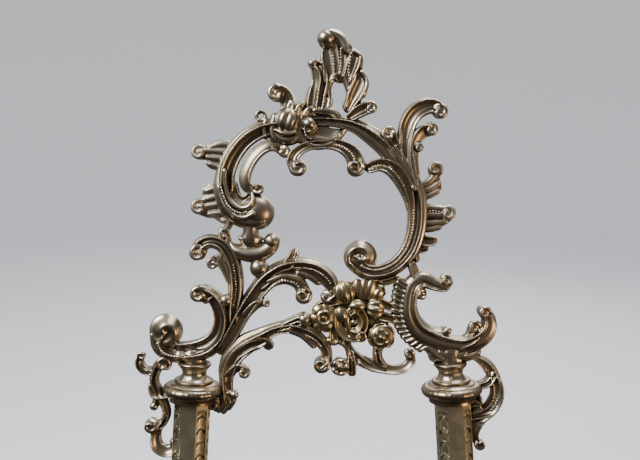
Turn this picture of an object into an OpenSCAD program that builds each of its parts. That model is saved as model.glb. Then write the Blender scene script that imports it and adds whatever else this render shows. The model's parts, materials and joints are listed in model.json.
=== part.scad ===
// Table stand for a photo album: a pierced cast crest on two splayed posts,
// two folding album rests on the lower rail and a folding leg behind.
// The frame is drawn upright in its own plane, X across and Z up the plane,
// and one turn about X then leans it back.

/* [Frame] */
// Distance between the post axes at their tops
post_span = 129.5; // [110:0.5:170]
// Length of each post between its two collars
post_length = 245; // [200:1:320]
// Width of a post across its flats
post_width = 17; // [14:0.1:22]
// Bore through each post
post_bore = 8; // [6:0.1:9]
// Outward splay of each post
post_splay = 3.5; // [0:0.5:5]
// Backward lean of the frame
frame_lean = 12; // [8:0.5:16]

/* [Crest] */
// Height of the crest above the post tops
crest_height = 182.5; // [140:0.5:240]
// Depth of the crest scrolls, front to back
scroll_depth = 7; // [5:0.1:9]
// Depth of the two scrolls that stand on the collars
base_scroll_depth = 10; // [8:0.1:14]
// Depth of the leaf sprays behind the rings
leaf_depth = 2.5; // [1.5:0.1:4]
// Depth of the flowers in front of their leaves
flower_depth = 6; // [3:0.1:9]

/* [Collars and feet] */
// Height of the collar between a post and the crest
collar_height = 19.8; // [16:0.1:26]
// Diameter of the collar flange
flange_d = 30; // [26:0.5:36]
// Height of the ring under a post
base_collar_height = 14; // [10:0.5:20]
// Diameter of the ring under a post
base_collar_d = 26; // [22:0.5:32]
// Height of a foot below its ring
foot_height = 31; // [24:0.5:45]
// Depth of a foot, front to back
foot_depth = 18; // [14:0.5:26]
// Diameter of the tie rod through a post
rod_d = 4; // [3:0.1:4.8]

/* [Rails] */
// Height of the middle of the leg rail, along the frame
leg_rail_z = 215; // [170:1:240]
// Height of the middle of the apron, along the frame
apron_z = 104; // [90:1:130]
// Thickness of both rails
rail_thickness = 6.4; // [4:0.1:7]
// Diameter of the tenons on the rail ends
tenon_d = 4.6; // [3:0.1:6]
// Diameter of the pins that lock the tenons
lock_pin_d = 1.6; // [1:0.1:2]

/* [Leg] */
// Angle of the leg from the frame when it is open
leg_open = 28; // [22:0.5:36]
// Thickness of the leg
leg_thickness = 5; // [4:0.1:8]
// Width of the leg at its hinge
leg_head_w = 15; // [12:0.5:22]
// Diameter of the hinge pin
hinge_pin_d = 4; // [3:0.1:6]
// Distance from the back of the rail to the hinge pin
hinge_offset = 10.5; // [9:0.1:16]

/* [Album rests] */
// Distance between the pivots of the two rests
rest_span = 96; // [84:1:110]
// Reach of a rest in front of its pivot
rest_reach = 40; // [30:1:43]
// Height of the upturned tip of a rest
rest_tip_height = 14; // [8:1:24]
// Width of a rest
rest_width = 7; // [5:0.5:10]
// Diameter of a rest's pivot pin
rest_pin_d = 3.5; // [2.5:0.1:5]

/* [Hidden] */

brass = "#9a8a5e";
dark_brass = "#6f6038";
gilt = "#b59a52";
steel = "#8b8d90";

run_fit = 0.05;          // radial clearance of pins and rods
swing_gap = 0.4;         // gap beside parts that move
big = 900;               // larger than the stand

// The crest is drawn on a pattern of this size and stretched to the sizes above
pattern_half_span = 64.75;
pattern_height = 182.5;
pattern_seat = 19.8;
pattern_knee = 45;       // nearer the posts than this, the pattern keeps its shape

foot_stack = foot_height + base_collar_height;
post_top_z = (foot_stack + post_length) * cos(post_splay);
foot_x = post_span / 2 + (foot_stack + post_length) * sin(post_splay);

scroll_back = 2.5;
scroll_front = scroll_back - scroll_depth;
rod_r = rod_d / 2;
rod_hole_r = rod_r + run_fit;

hinge_y = rail_thickness / 2 + hinge_offset;
hinge_world_y = hinge_y * cos(frame_lean) + leg_rail_z * sin(frame_lean);
hinge_world_z = leg_rail_z * cos(frame_lean) - hinge_y * sin(frame_lean);
leg_slope = leg_open - frame_lean;                 // from the vertical, when open
leg_length = hinge_world_z / cos(leg_slope);
toe_back = 7;            // the toe's curl, behind the leg's line and above its end
toe_up = 8;
toe_r = 2.5;
back_extent = hinge_world_y + (leg_length - toe_up) * sin(leg_slope)
    + toe_back * cos(leg_slope) + toe_r;

shell_depth = 4;
rest_pivot_y = -rail_thickness / 2 - shell_depth - rest_width / 2 - 1;
rest_tip_r = 3.6;
rest_bend_up = 6;        // height of the bend at a rest's front
rest_bend_w = 6;
front_extent = (rest_pivot_y - rest_reach) * cos(frame_lean)
    + (apron_z + rest_bend_up) * sin(frame_lean) - rest_bend_w / 2;
middle_y = (front_extent + back_extent) / 2;

// ---------- placing ----------

module leaned() {
    translate([0, -middle_y, 0]) rotate([-frame_lean, 0, 0]) children();
}

// Upright plate between two depths, from an outline in X and Z
module plate(front, back) {
    translate([0, back, 0]) rotate([90, 0, 0]) linear_extrude(back - front) children();
}

// Plate of the crest, whose outline is measured from the post tops
module crest_plate(front, back) {
    leaned() translate([0, 0, post_top_z]) plate(front, back) offset(delta = 0) children();
}

// Places a piece on a post's axis, with Z = 0 at the post's top. side is -1 or 1
module on_post(side) {
    translate([side * post_span / 2, 0, post_top_z])
        rotate([0, -side * post_splay, 0]) children();
}

module below_ground() {
    translate([-big / 2, -big / 2, -big]) cube([big, big, big]);
}

// ---------- scroll drawing ----------

function across(x) = abs(x) < pattern_knee
    ? x * (post_span / 2 - pattern_half_span + pattern_knee) / pattern_knee
    : sign(x) * (post_span / 2 - pattern_half_span + abs(x));

function upward(z) = z < pattern_seat
    ? z * collar_height / pattern_seat
    : collar_height
        + (z - pattern_seat) * (crest_height - collar_height) / (pattern_height - pattern_seat);

// How far the pattern is stretched at a point. Members are widened with it, so that they still meet
function stretch(x, z) = max(1,
    abs(x) < pattern_knee ? (post_span / 2 - pattern_half_span + pattern_knee) / pattern_knee : 1,
    z > pattern_seat ? (crest_height - collar_height) / (pattern_height - pattern_seat) : 1);

function stretched(p) = [across(p[0]), upward(p[1]), p[2] * stretch(p[0], p[1])];

function curve_point(a, b, c, d, t) = 0.5 * (2 * b + (c - a) * t
    + (2 * a - 5 * b + 4 * c - d) * t * t + (3 * b - a - 3 * c + d) * t * t * t);

function smooth(pts, steps) = let (last = len(pts) - 1) concat(
    [for (i = [0:last - 1], s = [0:steps - 1])
        curve_point(pts[max(i - 1, 0)], pts[i], pts[i + 1], pts[min(i + 2, last)], s / steps)],
    [pts[last]]);

function heading(path, i) = let (
    a = path[max(i - 1, 0)],
    b = path[min(i + 1, len(path) - 1)],
    run = [b[0] - a[0], b[1] - a[1]]
) run / norm(run);

function band_edge(path, i, side) = let (h = heading(path, i))
    [path[i][0] - side * h[1] * path[i][2] / 2, path[i][1] + side * h[0] * path[i][2] / 2];

function arc(centre, r, from, to, steps) =
    [for (i = [0:steps]) let (a = from + (to - from) * i / steps)
        centre + r * [cos(a), sin(a)]];

module knob(x, z, r) {
    translate([x, z]) circle(r, $fn = 28);
}

// True where a bend is tighter than the band is wide, so the band's edge runs backwards
function folds(path, i) = let (h = heading(path, i))
    min([for (side = [-1, 1]) (band_edge(path, i + 1, side) - band_edge(path, i, side)) * h]) < 0;

// A band of changing width along [x, z, width] points, with round ends
module band(pts, steps = 4) {
    path = smooth(pts, steps);
    last = len(path) - 1;
    for (i = [0:last - 1]) {
        polygon([band_edge(path, i, 1), band_edge(path, i + 1, 1),
            band_edge(path, i + 1, -1), band_edge(path, i, -1)]);
        if (folds(path, i)) for (j = [i, i + 1])
            knob(path[j][0], path[j][1], 0.48 * path[j][2]);
    }
    knob(path[0][0], path[0][1], path[0][2] / 2);
    knob(path[last][0], path[last][1], path[last][2] / 2);
}

module scroll(pts) {
    band([for (p = pts) stretched(p)]);
}

module curl(x, z, r) {
    knob(across(x), upward(z), r * stretch(x, z));
}

// Leaves that carry the flowers keep their widths, as the flowers do
module sprig(pts) {
    band([for (p = pts) [across(p[0]), upward(p[1]), p[2]]]);
}

// ---------- crest outlines, measured from the post tops ----------

module base_scroll_left_outline() {
    scroll([[-77.5, 31, 12], [-79, 27.5, 11], [-74.5, 24.6, 10.4], [-67, 24.4, 10.4],
        [-58.5, 26.2, 11], [-52, 31.5, 10], [-49.5, 38.5, 9.4], [-50, 45, 8.6],
        [-53, 50.8, 7.6], [-57.5, 54.4, 7], [-60.8, 54, 7]]);
    scroll([[-64.4, 25.4, 11], [-63.8, 21, 12]]);
    curl(-77.7, 35.3, 8.2);
    curl(-61, 53.2, 4.4);
    curl(-47.6, 50.6, 3.2);
}

module base_scroll_right_outline() {
    scroll([[60.8, 61.4, 4.4], [62.6, 59, 4.6], [60.2, 56.8, 5.6], [55, 58, 7.4], [49, 61.2, 9],
        [42.8, 58.4, 9.6], [39, 50, 11.4], [39.6, 41, 13], [44.4, 33, 13], [52, 29.4, 12],
        [61, 28, 9.4], [70, 27.8, 8.6], [77.4, 30.4, 9.4], [82, 35.6, 8.6], [82.6, 41, 7],
        [80, 44.4, 6]]);
    scroll([[48, 54.4, 4.6], [44.8, 50, 5], [46.6, 42, 5], [52, 36.2, 5], [58, 34, 4.8],
        [61.6, 35.4, 4.2]]);
    scroll([[68, 28.4, 6], [73.6, 31.4, 6], [75.6, 36.4, 6]]);
    scroll([[63.4, 28, 13], [63.8, 23.5, 14], [64, 20.4, 13]]);
    scroll([[60, 25, 4], [55.4, 21.6, 5.4]]);
    scroll([[46, 63, 5], [44.4, 67.6, 5]]);
    curl(49, 53, 2.7);
}

module knot_outline() {
    scroll([[-25, 135, 12], [-19, 136.4, 17], [-12.5, 136, 17]]);
    scroll([[-19, 144, 8], [-19.6, 149, 6.4], [-22, 152.4, 8.6]]);
    scroll([[-10, 134.5, 14], [-3, 134, 13.6], [3.5, 133.6, 9], [9, 134.6, 2]]);
    curl(-14, 146.4, 2.7);
    curl(-29.6, 140.4, 2.9);
}

module ring_left_outline() {
    scroll([[-24, 135.6, 8], [-30.5, 134, 8.6], [-38, 129.4, 9], [-44, 122, 9.4],
        [-47.4, 114, 9.6], [-48.2, 106, 10], [-46.4, 98, 11], [-41.6, 92.4, 13],
        [-36, 92.2, 14.4]]);
    curl(-33.2, 93.8, 8.7);
}

module ring_left_inner_outline() {
    scroll([[-18.8, 123.2, 5.6], [-22, 126, 6], [-26.4, 126.4, 6], [-31.4, 123.6, 6.2],
        [-35.6, 118.4, 6.2], [-38.1, 112, 6], [-37.6, 107.2, 6], [-34.6, 105, 5.4],
        [-32, 105, 5.4]]);
}

module ring_right_outline() {
    scroll([[-6, 138.6, 5], [5, 138.4, 5.6], [15, 136.4, 7], [24.5, 131, 9.4],
        [34, 122.4, 10], [41, 112.6, 10.6], [45.6, 103, 10], [46.8, 93, 10],
        [45.8, 83, 9.4], [42.6, 74.4, 9], [36.4, 67.4, 8.4], [28.4, 64, 8],
        [21, 64.6, 8], [15.6, 68.6, 8]]);
    scroll([[23.4, 115.8, 6.6], [28, 117, 7], [33, 115.6, 7.6], [38, 110.6, 8]]);
    curl(18.7, 71.8, 8.2);
}

module ring_right_inner_outline() {
    scroll([[-12.4, 115.8, 9], [-14.6, 119.4, 6.4], [-12.6, 123, 5.6], [-7.6, 126, 4.8],
        [0, 127, 4.6], [8, 126.4, 6.2], [14, 122.8, 8.2], [16.6, 117.6, 9],
        [16.4, 115.6, 9]]);
}

module plume_outline() {
    difference() {
        union() {
            scroll([[4, 142, 20], [6.4, 150, 20], [7.4, 158, 19], [7.4, 166, 16], [7.2, 172, 13],
                [5.4, 177.6, 9.4], [2.2, 178.2, 8.6]]);
            scroll([[0, 146, 7], [-1.4, 154, 6.6], [-1.6, 161, 6], [-4.4, 166, 5.2]]);
            scroll([[-7.4, 144.6, 6], [-6.8, 149, 3.6], [-6, 154.6, 2.6]]);
            scroll([[13, 158, 8], [15.6, 165, 8], [15.4, 169.6, 7.4]]);
            scroll([[13.6, 144, 9], [17.4, 152, 8.6], [18, 158, 8.6], [16.4, 162, 7]]);
            scroll([[12, 140.6, 6], [18.4, 142.4, 6.2], [24, 144.8, 6.2]]);
        }
        scroll([[7.4, 144.6, 6], [8.8, 149.4, 7], [8.6, 154.4, 5]]);
    }
}

module horn_outline() {
    scroll([[44.4, 110, 6], [41.8, 119, 7], [40.4, 127.6, 6.6], [40.4, 135.4, 6.4],
        [43.4, 141.8, 6.6], [49, 145.8, 7], [54.4, 146.4, 6.4], [57.4, 143, 7]]);
    scroll([[45, 112, 5], [43.8, 121, 5], [44.8, 128.4, 5.4], [48, 133.6, 6], [52.4, 134.4, 6.6]]);
    scroll([[40, 116, 5], [35.6, 125, 5], [32.4, 132.6, 6.8]]);
    curl(46.4, 124.4, 2.3);
}

module leaves_left_outline() {
    scroll([[-43, 121, 14], [-50, 123, 13], [-56.6, 123.6, 9], [-61.6, 123.8, 7]]);
    scroll([[-44, 124, 9], [-50.6, 128.2, 5.2]]);
    scroll([[-46, 116, 9], [-52, 117.4, 4.4], [-56.4, 117.8, 3.4]]);
    scroll([[-46, 99, 15], [-52, 98.8, 15], [-57.4, 99, 13], [-61.2, 96.4, 8]]);
    scroll([[-46, 94, 9], [-50.4, 92, 5.4], [-53.8, 91.4, 3.4]]);
    scroll([[-44.6, 94, 6], [-46.6, 88, 4.4], [-48.6, 83.8, 5.4]]);
}

module leaves_right_outline() {
    scroll([[44, 105.4, 12], [51, 106, 9], [56, 106.2, 7.4]]);
    scroll([[50, 106, 6], [57.4, 109.4, 4.4], [56, 114.6, 7.4]]);
    scroll([[46, 90.4, 15], [53, 90.4, 13.6], [58, 91.6, 9.4], [62, 93, 6.6]]);
    scroll([[47, 86, 7], [54, 86, 6], [59, 85.4, 3.6]]);
    scroll([[46.6, 82, 9], [50.4, 78.6, 7.6], [54.4, 77.6, 5]]);
    scroll([[49, 97, 8], [50.6, 100, 5], [49, 103, 8]]);
    curl(46.4, 71, 3);
}

module cup_outline() {
    scroll([[-35.4, 86, 8.6], [-35.4, 81.4, 8], [-35.4, 78, 8]]);
    scroll([[-45.4, 79.6, 4], [-43.4, 75.6, 7], [-36.4, 73.6, 8.4], [-29, 74.4, 8.4],
        [-24.8, 78.2, 7], [-26.4, 81.8, 3.6]]);
    scroll([[-31, 67, 10.4], [-31, 65, 8], [-31.4, 62, 4]]);
}

module stem_left_outline() {
    scroll([[-44.4, 40, 6], [-44, 47, 7], [-43, 55, 8], [-43.4, 64, 8.4], [-45.6, 72, 8.4],
        [-49.6, 77.6, 7.6], [-55.4, 79.6, 7.4], [-60, 77.4, 7.6], [-61.4, 74, 8]]);
    scroll([[-45, 61, 7], [-48.4, 67.2, 5.6], [-51.6, 70.2, 4.6], [-54.4, 68.5, 5.6]]);
    scroll([[-46, 78, 4.6], [-47.6, 82, 4.6]]);
}

module acanthus_arm_outline() {
    scroll([[-50, 26, 7], [-45.6, 33, 8], [-40, 43, 8.4], [-35, 51, 9], [-28.4, 59.4, 10],
        [-20, 65, 10.4], [-11, 66.6, 10.6], [-3, 65, 10.4], [3, 60.4, 8.6], [5, 55, 6.4],
        [2, 51.6, 5.6]]);
    scroll([[-26, 58.6, 6], [-18, 60.2, 6.4], [-11.6, 57.6, 8], [-9.4, 52.8, 8.6]]);
    scroll([[-12, 64, 5], [-6, 62, 4.6], [-2.2, 58.9, 3.6]]);
    scroll([[-37, 45, 5], [-32, 48.6, 4.4], [-28.2, 49, 3.8]]);
    scroll([[-16, 69, 6], [-13.8, 74.2, 4.4]]);
}

module arch_left_outline() {
    scroll([[-47.6, 1, 6.4], [-48, 9, 7], [-47.4, 16, 9], [-44.4, 22.4, 10.6], [-38.4, 28, 10.8],
        [-31, 31.8, 9.6], [-24, 35.6, 6.6], [-16, 37, 7], [-8, 34.8, 7.6], [-2, 31, 7],
        [1.6, 26, 6], [2, 20.8, 6], [-0.4, 18.6, 7.8]]);
    scroll([[-47, 12, 6], [-43, 16, 5], [-38.9, 14.4, 6]]);
    scroll([[-18, 36, 5], [-10, 33, 5], [-4.2, 27, 3.4]]);
    scroll([[-16, 38.4, 5], [-10, 41.2, 6.4]]);
    scroll([[-47, 4, 4], [-43.6, 3.2, 3.6]]);
    band([[-post_span / 2 + post_width / 2 + 8.6, 1, 6],
        [-post_span / 2 + post_width / 2 + 4.7, -1.4, 9.4]]);
}

module bouquet_outline() {
    sprig([[-3.4, 40.6, 7], [2, 41.4, 14], [8, 43, 18], [15, 42.4, 24], [22, 41, 25],
        [28, 34, 14]]);
    sprig([[6, 52, 6], [12, 53, 15], [20, 53.6, 16], [25, 49, 14]]);
    sprig([[5.4, 40, 5], [5.6, 34, 4.6], [5.8, 29.8, 4.6]]);
    sprig([[22, 56, 8], [29, 58.6, 3.4], [36, 60.6, 4]]);
    sprig([[28, 50, 4], [33, 47, 4.4], [38, 46, 5]]);
}

module loop_right_outline() {
    scroll([[12, 30, 5], [15.6, 24, 5.6], [21, 18.6, 6.4], [29, 16.8, 5.4], [36, 15.4, 4.4],
        [41.4, 16.8, 4.6], [44, 20.4, 4.6], [42.8, 23.6, 5]]);
    scroll([[28, 29, 6], [27.4, 22, 5.4], [31, 16.8, 4]]);
    scroll([[13.4, 27, 4], [14, 20, 4], [14.6, 15, 4.6]]);
    scroll([[14, 21, 5], [9.2, 17, 9]]);
    scroll([[6, 17.6, 4], [3, 18.6, 4]]);
}

// ---------- crest pieces ----------

module base_scroll_left() {
    color(brass) base_scroll(-1) base_scroll_left_outline();
}

module base_scroll_right() {
    color(brass) base_scroll(1) base_scroll_right_outline();
}

// A scroll cut flat where it stands on its collar and tapped for the tie rod
module base_scroll(side) {
    difference() {
        crest_plate(-base_scroll_depth / 2, base_scroll_depth / 2) children();
        leaned() on_post(side) {
            translate([-20, -20, collar_height - 20]) cube([40, 40, 20]);
            translate([0, 0, collar_height - 1]) cylinder(r = rod_hole_r, h = rod_bite + 2, $fn = 32);
        }
    }
}

rod_bite = 7.4;          // length of rod inside the crest

module knot() {
    color(dark_brass) crest_plate(scroll_front - 2, scroll_back + 1) knot_outline();
}

module ring_left() {
    color(brass) crest_plate(scroll_front, scroll_back) difference() {
        ring_left_outline();
        knot_outline();
    }
}

module ring_left_inner() {
    color(brass) crest_plate(scroll_front, scroll_back) difference() {
        ring_left_inner_outline();
        knot_outline();
        ring_left_outline();
        ring_right_inner_outline();
    }
}

module ring_right() {
    color(brass) crest_plate(scroll_front, scroll_back) difference() {
        ring_right_outline();
        knot_outline();
        base_scroll_right_outline();
    }
}

module ring_right_inner() {
    color(brass) crest_plate(scroll_front, scroll_back) difference() {
        ring_right_inner_outline();
        knot_outline();
        ring_right_outline();
    }
}

module plume() {
    color(brass) crest_plate(scroll_front, scroll_back) difference() {
        plume_outline();
        knot_outline();
        ring_right_outline();
        ring_right_inner_outline();
    }
}

module horn() {
    color(brass) crest_plate(scroll_front, scroll_back) difference() {
        horn_outline();
        ring_right_outline();
    }
}

module leaves_left() {
    color(dark_brass) crest_plate(scroll_back, scroll_back + leaf_depth) leaves_left_outline();
}

module leaves_right() {
    color(dark_brass) crest_plate(scroll_back, scroll_back + leaf_depth) difference() {
        leaves_right_outline();
        base_scroll_right_outline();
    }
}

module cup() {
    color(brass) crest_plate(scroll_front, scroll_back) difference() {
        cup_outline();
        ring_left_outline();
    }
}

module acanthus_arm() {
    color(brass) crest_plate(scroll_front, scroll_back) difference() {
        acanthus_arm_outline();
        base_scroll_left_outline();
        cup_outline();
    }
}

module stem_left() {
    color(brass) crest_plate(scroll_front, scroll_back) difference() {
        stem_left_outline();
        base_scroll_left_outline();
        acanthus_arm_outline();
        cup_outline();
    }
}

module arch_left() {
    color(brass) difference() {
        crest_plate(scroll_front, scroll_back) difference() {
            arch_left_outline();
            base_scroll_left_outline();
            acanthus_arm_outline();
        }
        leaned() on_post(-1) collar_space();
    }
}

module bouquet_leaves() {
    color(brass) crest_plate(bouquet_front, scroll_back) difference() {
        bouquet_outline();
        acanthus_arm_outline();
        arch_left_outline();
        ring_right_outline();
        base_scroll_right_outline();
    }
}

module loop_right() {
    color(brass) crest_plate(scroll_front, scroll_back) difference() {
        loop_right_outline();
        bouquet_outline();
        arch_left_outline();
        base_scroll_right_outline();
    }
}

bouquet_front = scroll_front + 3;

// A flower head on the face of the bouquet: a rim of petals round a raised eye
module flower(x, z, r, petals) {
    rim_front = bouquet_front - flower_depth * 0.6;
    crest_plate(rim_front, bouquet_front) difference() {
        translate([across(x), upward(z)]) {
            circle(r * 0.8, $fn = 28);
            for (i = [0:petals - 1])
                rotate(i * 360 / petals) translate([r * 0.62, 0]) circle(r * 0.38, $fn = 20);
        }
        acanthus_arm_outline();
        loop_right_outline();
    }
    leaned() translate([across(x), rim_front, post_top_z + upward(z)]) rotate([90, 0, 0])
        cylinder(r = r * 0.45, h = flower_depth * 0.4, $fn = 32);
}

module rose_left() {
    color(gilt) flower(0.6, 41.8, 5.6, 5);
}

module rose_right() {
    color(gilt) flower(28.8, 32.6, 5.8, 6);
}

module blossom() {
    color(gilt) flower(14, 38.4, 7, 5);
}

module buds() {
    color(gilt) {
        flower(11, 54.4, 4.4, 3);
        flower(20.6, 55.4, 4.4, 3);
        flower(26, 46.8, 4.4, 4);
    }
}

// ---------- collars, posts and brackets, on the post's own axis ----------

collar_foot_r = 11.5;
collar_foot_h = 1.6;
flange_r = flange_d / 2;
flange_rise = 5.4;       // height of the flange's rounded edge
flange_mid = 5.8;        // height of the middle of the flange
shoulder_r = 9.6;
neck_r = 6.4;
bead_r = 8;
bead_rise = 3.4;

function collar_profile() = let (neck_low = 11, neck_high = collar_height - bead_rise) concat(
    [[rod_hole_r, 0], [collar_foot_r, 0], [collar_foot_r, collar_foot_h]],
    arc([flange_r - flange_rise / 2, flange_mid], flange_rise / 2, -70, 90, 8),
    [[shoulder_r, flange_mid + flange_rise / 2 + 1], [shoulder_r, 10.6]],
    [for (i = [0:6]) let (t = i / 6)
        [neck_r + 1.6 * pow(2 * t - 1, 2), neck_low + (neck_high - neck_low) * t]],
    arc([bead_r - bead_rise / 2, collar_height - bead_rise / 2], bead_rise / 2, -80, 90, 6),
    [[rod_hole_r, collar_height]]);

module collar(side) {
    color(brass) leaned() on_post(side) rotate_extrude($fn = 64) polygon(collar_profile());
}

module collar_left() {
    collar(-1);
}

module collar_right() {
    collar(1);
}

// The room that a collar and the post under it take up
module collar_space() {
    cylinder(r = bead_r, h = collar_height, $fn = 64);
    translate([0, 0, collar_foot_h])
        cylinder(r = flange_r, h = flange_mid + flange_rise / 2 + 1 - collar_foot_h, $fn = 64);
    cylinder(r = collar_foot_r, h = collar_foot_h, $fn = 64);
    translate([0, 0, -post_length]) post_bar(post_length);
}

module post_bar(h) {
    rotate(22.5) cylinder(d = post_width / cos(22.5), h = h, $fn = 8);
}

tenon_depth = (post_width - post_bore) / 2 - 0.4;
lock_pin_x = post_width / 2 - tenon_depth / 2;
lock_pin_front = -3;

module tenon(side, rail_z, grow) {
    on_post(side) translate([-side * post_width / 2, 0, tenon_z(rail_z)])
        rotate([0, side * 90, 0]) translate([0, 0, -0.01])
            cylinder(d = tenon_d + 2 * grow, h = tenon_depth + 0.01, $fn = 32);
}

// A rail's middle height meets the inner face of the post at this height on the post's axis
function tenon_z(rail_z) = (rail_z - post_top_z - post_width / 2 * sin(post_splay)) / cos(post_splay);

module lock_pin(side, rail_z, grow) {
    on_post(side) translate([-side * lock_pin_x, lock_pin_front - grow, tenon_z(rail_z)])
        rotate([-90, 0, 0]) cylinder(d = lock_pin_d + 2 * grow, h = lock_pin_length + grow, $fn = 24);
}

lock_pin_length = 8.6;

module post(side) {
    color(brass) leaned() difference() {
        on_post(side) translate([0, 0, -post_length]) difference() {
            post_bar(post_length);
            translate([0, 0, -1]) cylinder(d = post_bore, h = post_length + 2, $fn = 48);
        }
        for (rail_z = [leg_rail_z, apron_z]) {
            tenon(side, rail_z, run_fit);
            lock_pin(side, rail_z, run_fit);
        }
    }
}

module post_left() {
    post(-1);
}

module post_right() {
    post(1);
}

bracket_depth = 7;

// A side scroll hangs from the flange and meets the post below it. Distances are from the post's face
module bracket(side) {
    color(brass) leaned() difference() {
        on_post(side) plate(-bracket_depth / 2, bracket_depth / 2) offset(delta = 0) children();
        on_post(side) collar_space();
        translate([0, 0, post_top_z]) plate(-bracket_depth, bracket_depth) offset(delta = 0) {
            base_scroll_left_outline();
            base_scroll_right_outline();
        }
    }
}

module bracket_left() {
    edge = -post_width / 2;
    bracket(-1) {
        band([[edge - 6.4, 17.6, 7.2], [edge - 9.6, 16, 6], [edge - 11.4, 9, 5],
            [edge - 8.8, 3, 5.2], [edge - 6, -2, 5], [edge - 4.2, -8, 4.6],
            [edge - 6.6, -13.4, 4.6], [edge - 11, -13.6, 7]]);
        band([[edge - 12.4, 13.4, 4.6], [edge - 16.6, 13.8, 5], [edge - 19.2, 17.4, 5],
            [edge - 17.8, 21, 3.6]]);
        band([[edge - 6.8, -12.4, 4.4], [edge - 8.8, -18, 5.4], [edge - 8, -24, 6],
            [edge - 3.6, -26.4, 6], [edge + 1, -25, 6]]);
        band([[edge - 10, -1, 4], [edge - 10.4, -4, 4.4]]);
        band([[edge - 8, 5, 5], [edge - 4.8, 5.4, 4.4]]);
    }
}

module bracket_right() {
    edge = post_width / 2;
    bracket(1) {
        band([[edge - 1.2, 22, 2.8], [edge + 4, 21, 4.4], [edge + 9.6, 16.8, 6.6],
            [edge + 13, 10, 7], [edge + 13.8, 2, 7], [edge + 10.6, -5, 7.4],
            [edge + 5.6, -7.6, 7], [edge + 1, -8.4, 6]]);
        band([[edge + 3, -8, 6], [edge + 2.2, -14, 4.4], [edge + 1.6, -19, 4],
            [edge + 3.6, -22.8, 5.2]]);
        band([[edge + 11.4, 11, 5], [edge + 9, 7.4, 5.2], [edge + 5.4, 6.6, 5]]);
    }
}

base_lip_r = base_collar_d / 2;

function base_collar_profile() = concat(
    [[rod_hole_r, 0], [base_lip_r - 2, 0]],
    arc([base_lip_r - 2.4, 2.6], 2.4, -70, 70, 6),
    [[base_lip_r - 3, 6]],
    arc([base_lip_r - 3.4, base_collar_height - 4.2], 1.8, -80, 80, 5),
    [[post_width / 2 + 1, base_collar_height], [rod_hole_r, base_collar_height]]);

module base_collar(side) {
    color(brass) leaned() on_post(side) translate([0, 0, -post_length - base_collar_height])
        rotate_extrude($fn = 64) polygon(base_collar_profile());
}

module base_collar_left() {
    base_collar(-1);
}

module base_collar_right() {
    base_collar(1);
}

nut_af = 8;
nut_h = 3.4;
nut_pocket_d = 12;
nut_pocket_top = 12;     // height of the pocket's roof above the ground, on the post's axis
foot_skirt = 8;          // metal below the ground line, before the foot is cut flat

// A scroll foot, cut flat on the ground, with a pocket below for the rod's nut
module foot(side) {
    color(brass) difference() {
        leaned() on_post(side) translate([0, 0, -post_length - foot_stack]) difference() {
            plate(-foot_depth / 2, foot_depth / 2) offset(delta = 0) {
                intersection() {
                    union() {
                        polygon([[-11, foot_height], [11, foot_height], [13, -foot_skirt],
                            [-13, -foot_skirt]]);
                        scale([side, 1]) {
                            band([[6, foot_height - 6, 10], [14, foot_height - 11, 9],
                                [18, foot_height - 19, 9], [24, 6, 10], [31, 4, 10],
                                [36, 9, 8], [32, 13, 6]]);
                            band([[-6, foot_height - 8, 9], [-12, foot_height - 15, 8],
                                [-15, 8, 8], [-21, 5, 9], [-24, 9, 6]]);
                        }
                    }
                    translate([-60, -foot_skirt]) square([120, foot_height + foot_skirt]);
                }
            }
            translate([0, 0, -foot_skirt - 1])
                cylinder(r = rod_hole_r, h = foot_height + foot_skirt + 2, $fn = 32);
            translate([0, 0, -foot_skirt - 1])
                cylinder(d = nut_pocket_d, h = nut_pocket_top + foot_skirt + 1, $fn = 48);
        }
        below_ground();
    }
}

module foot_left() {
    foot(-1);
}

module foot_right() {
    foot(1);
}

rod_tail = 6;            // rod below the pocket's roof

module tie_rod(side) {
    rod_low = -post_length - foot_stack + nut_pocket_top - rod_tail;
    color(steel) leaned() on_post(side) translate([0, 0, rod_low])
        cylinder(r = rod_r, h = collar_height + rod_bite - rod_low, $fn = 32);
}

module tie_rod_left() {
    tie_rod(-1);
}

module tie_rod_right() {
    tie_rod(1);
}

module foot_nuts() {
    color(steel) for (side = [-1, 1])
        leaned() on_post(side)
            translate([0, 0, -post_length - foot_stack + nut_pocket_top - nut_h]) difference() {
                cylinder(d = nut_af / cos(30), h = nut_h, $fn = 6);
                translate([0, 0, -1]) cylinder(r = rod_hole_r, h = nut_h + 2, $fn = 32);
            }
}

// ---------- rails ----------

function post_face_x(z) = post_span / 2 + (post_top_z - z) * tan(post_splay)
    - post_width / 2 / cos(post_splay);

module between_posts(low, high) {
    polygon([[-post_face_x(low), low], [post_face_x(low), low],
        [post_face_x(high), high], [-post_face_x(high), high]]);
}

module mirrored() {
    children();
    mirror([1, 0]) children();
}

// A rail between the posts with a tenon at each end, drilled for its lock pins
module rail(rail_z) {
    leaned() difference() {
        union() {
            plate(-rail_thickness / 2, rail_thickness / 2) offset(delta = 0) intersection() {
                children();
                between_posts(rail_z - 50, rail_z + 50);
            }
            for (side = [-1, 1]) tenon(side, rail_z, 0);
        }
        for (side = [-1, 1]) lock_pin(side, rail_z, run_fit);
    }
}

rail_end_x = foot_x;

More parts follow.
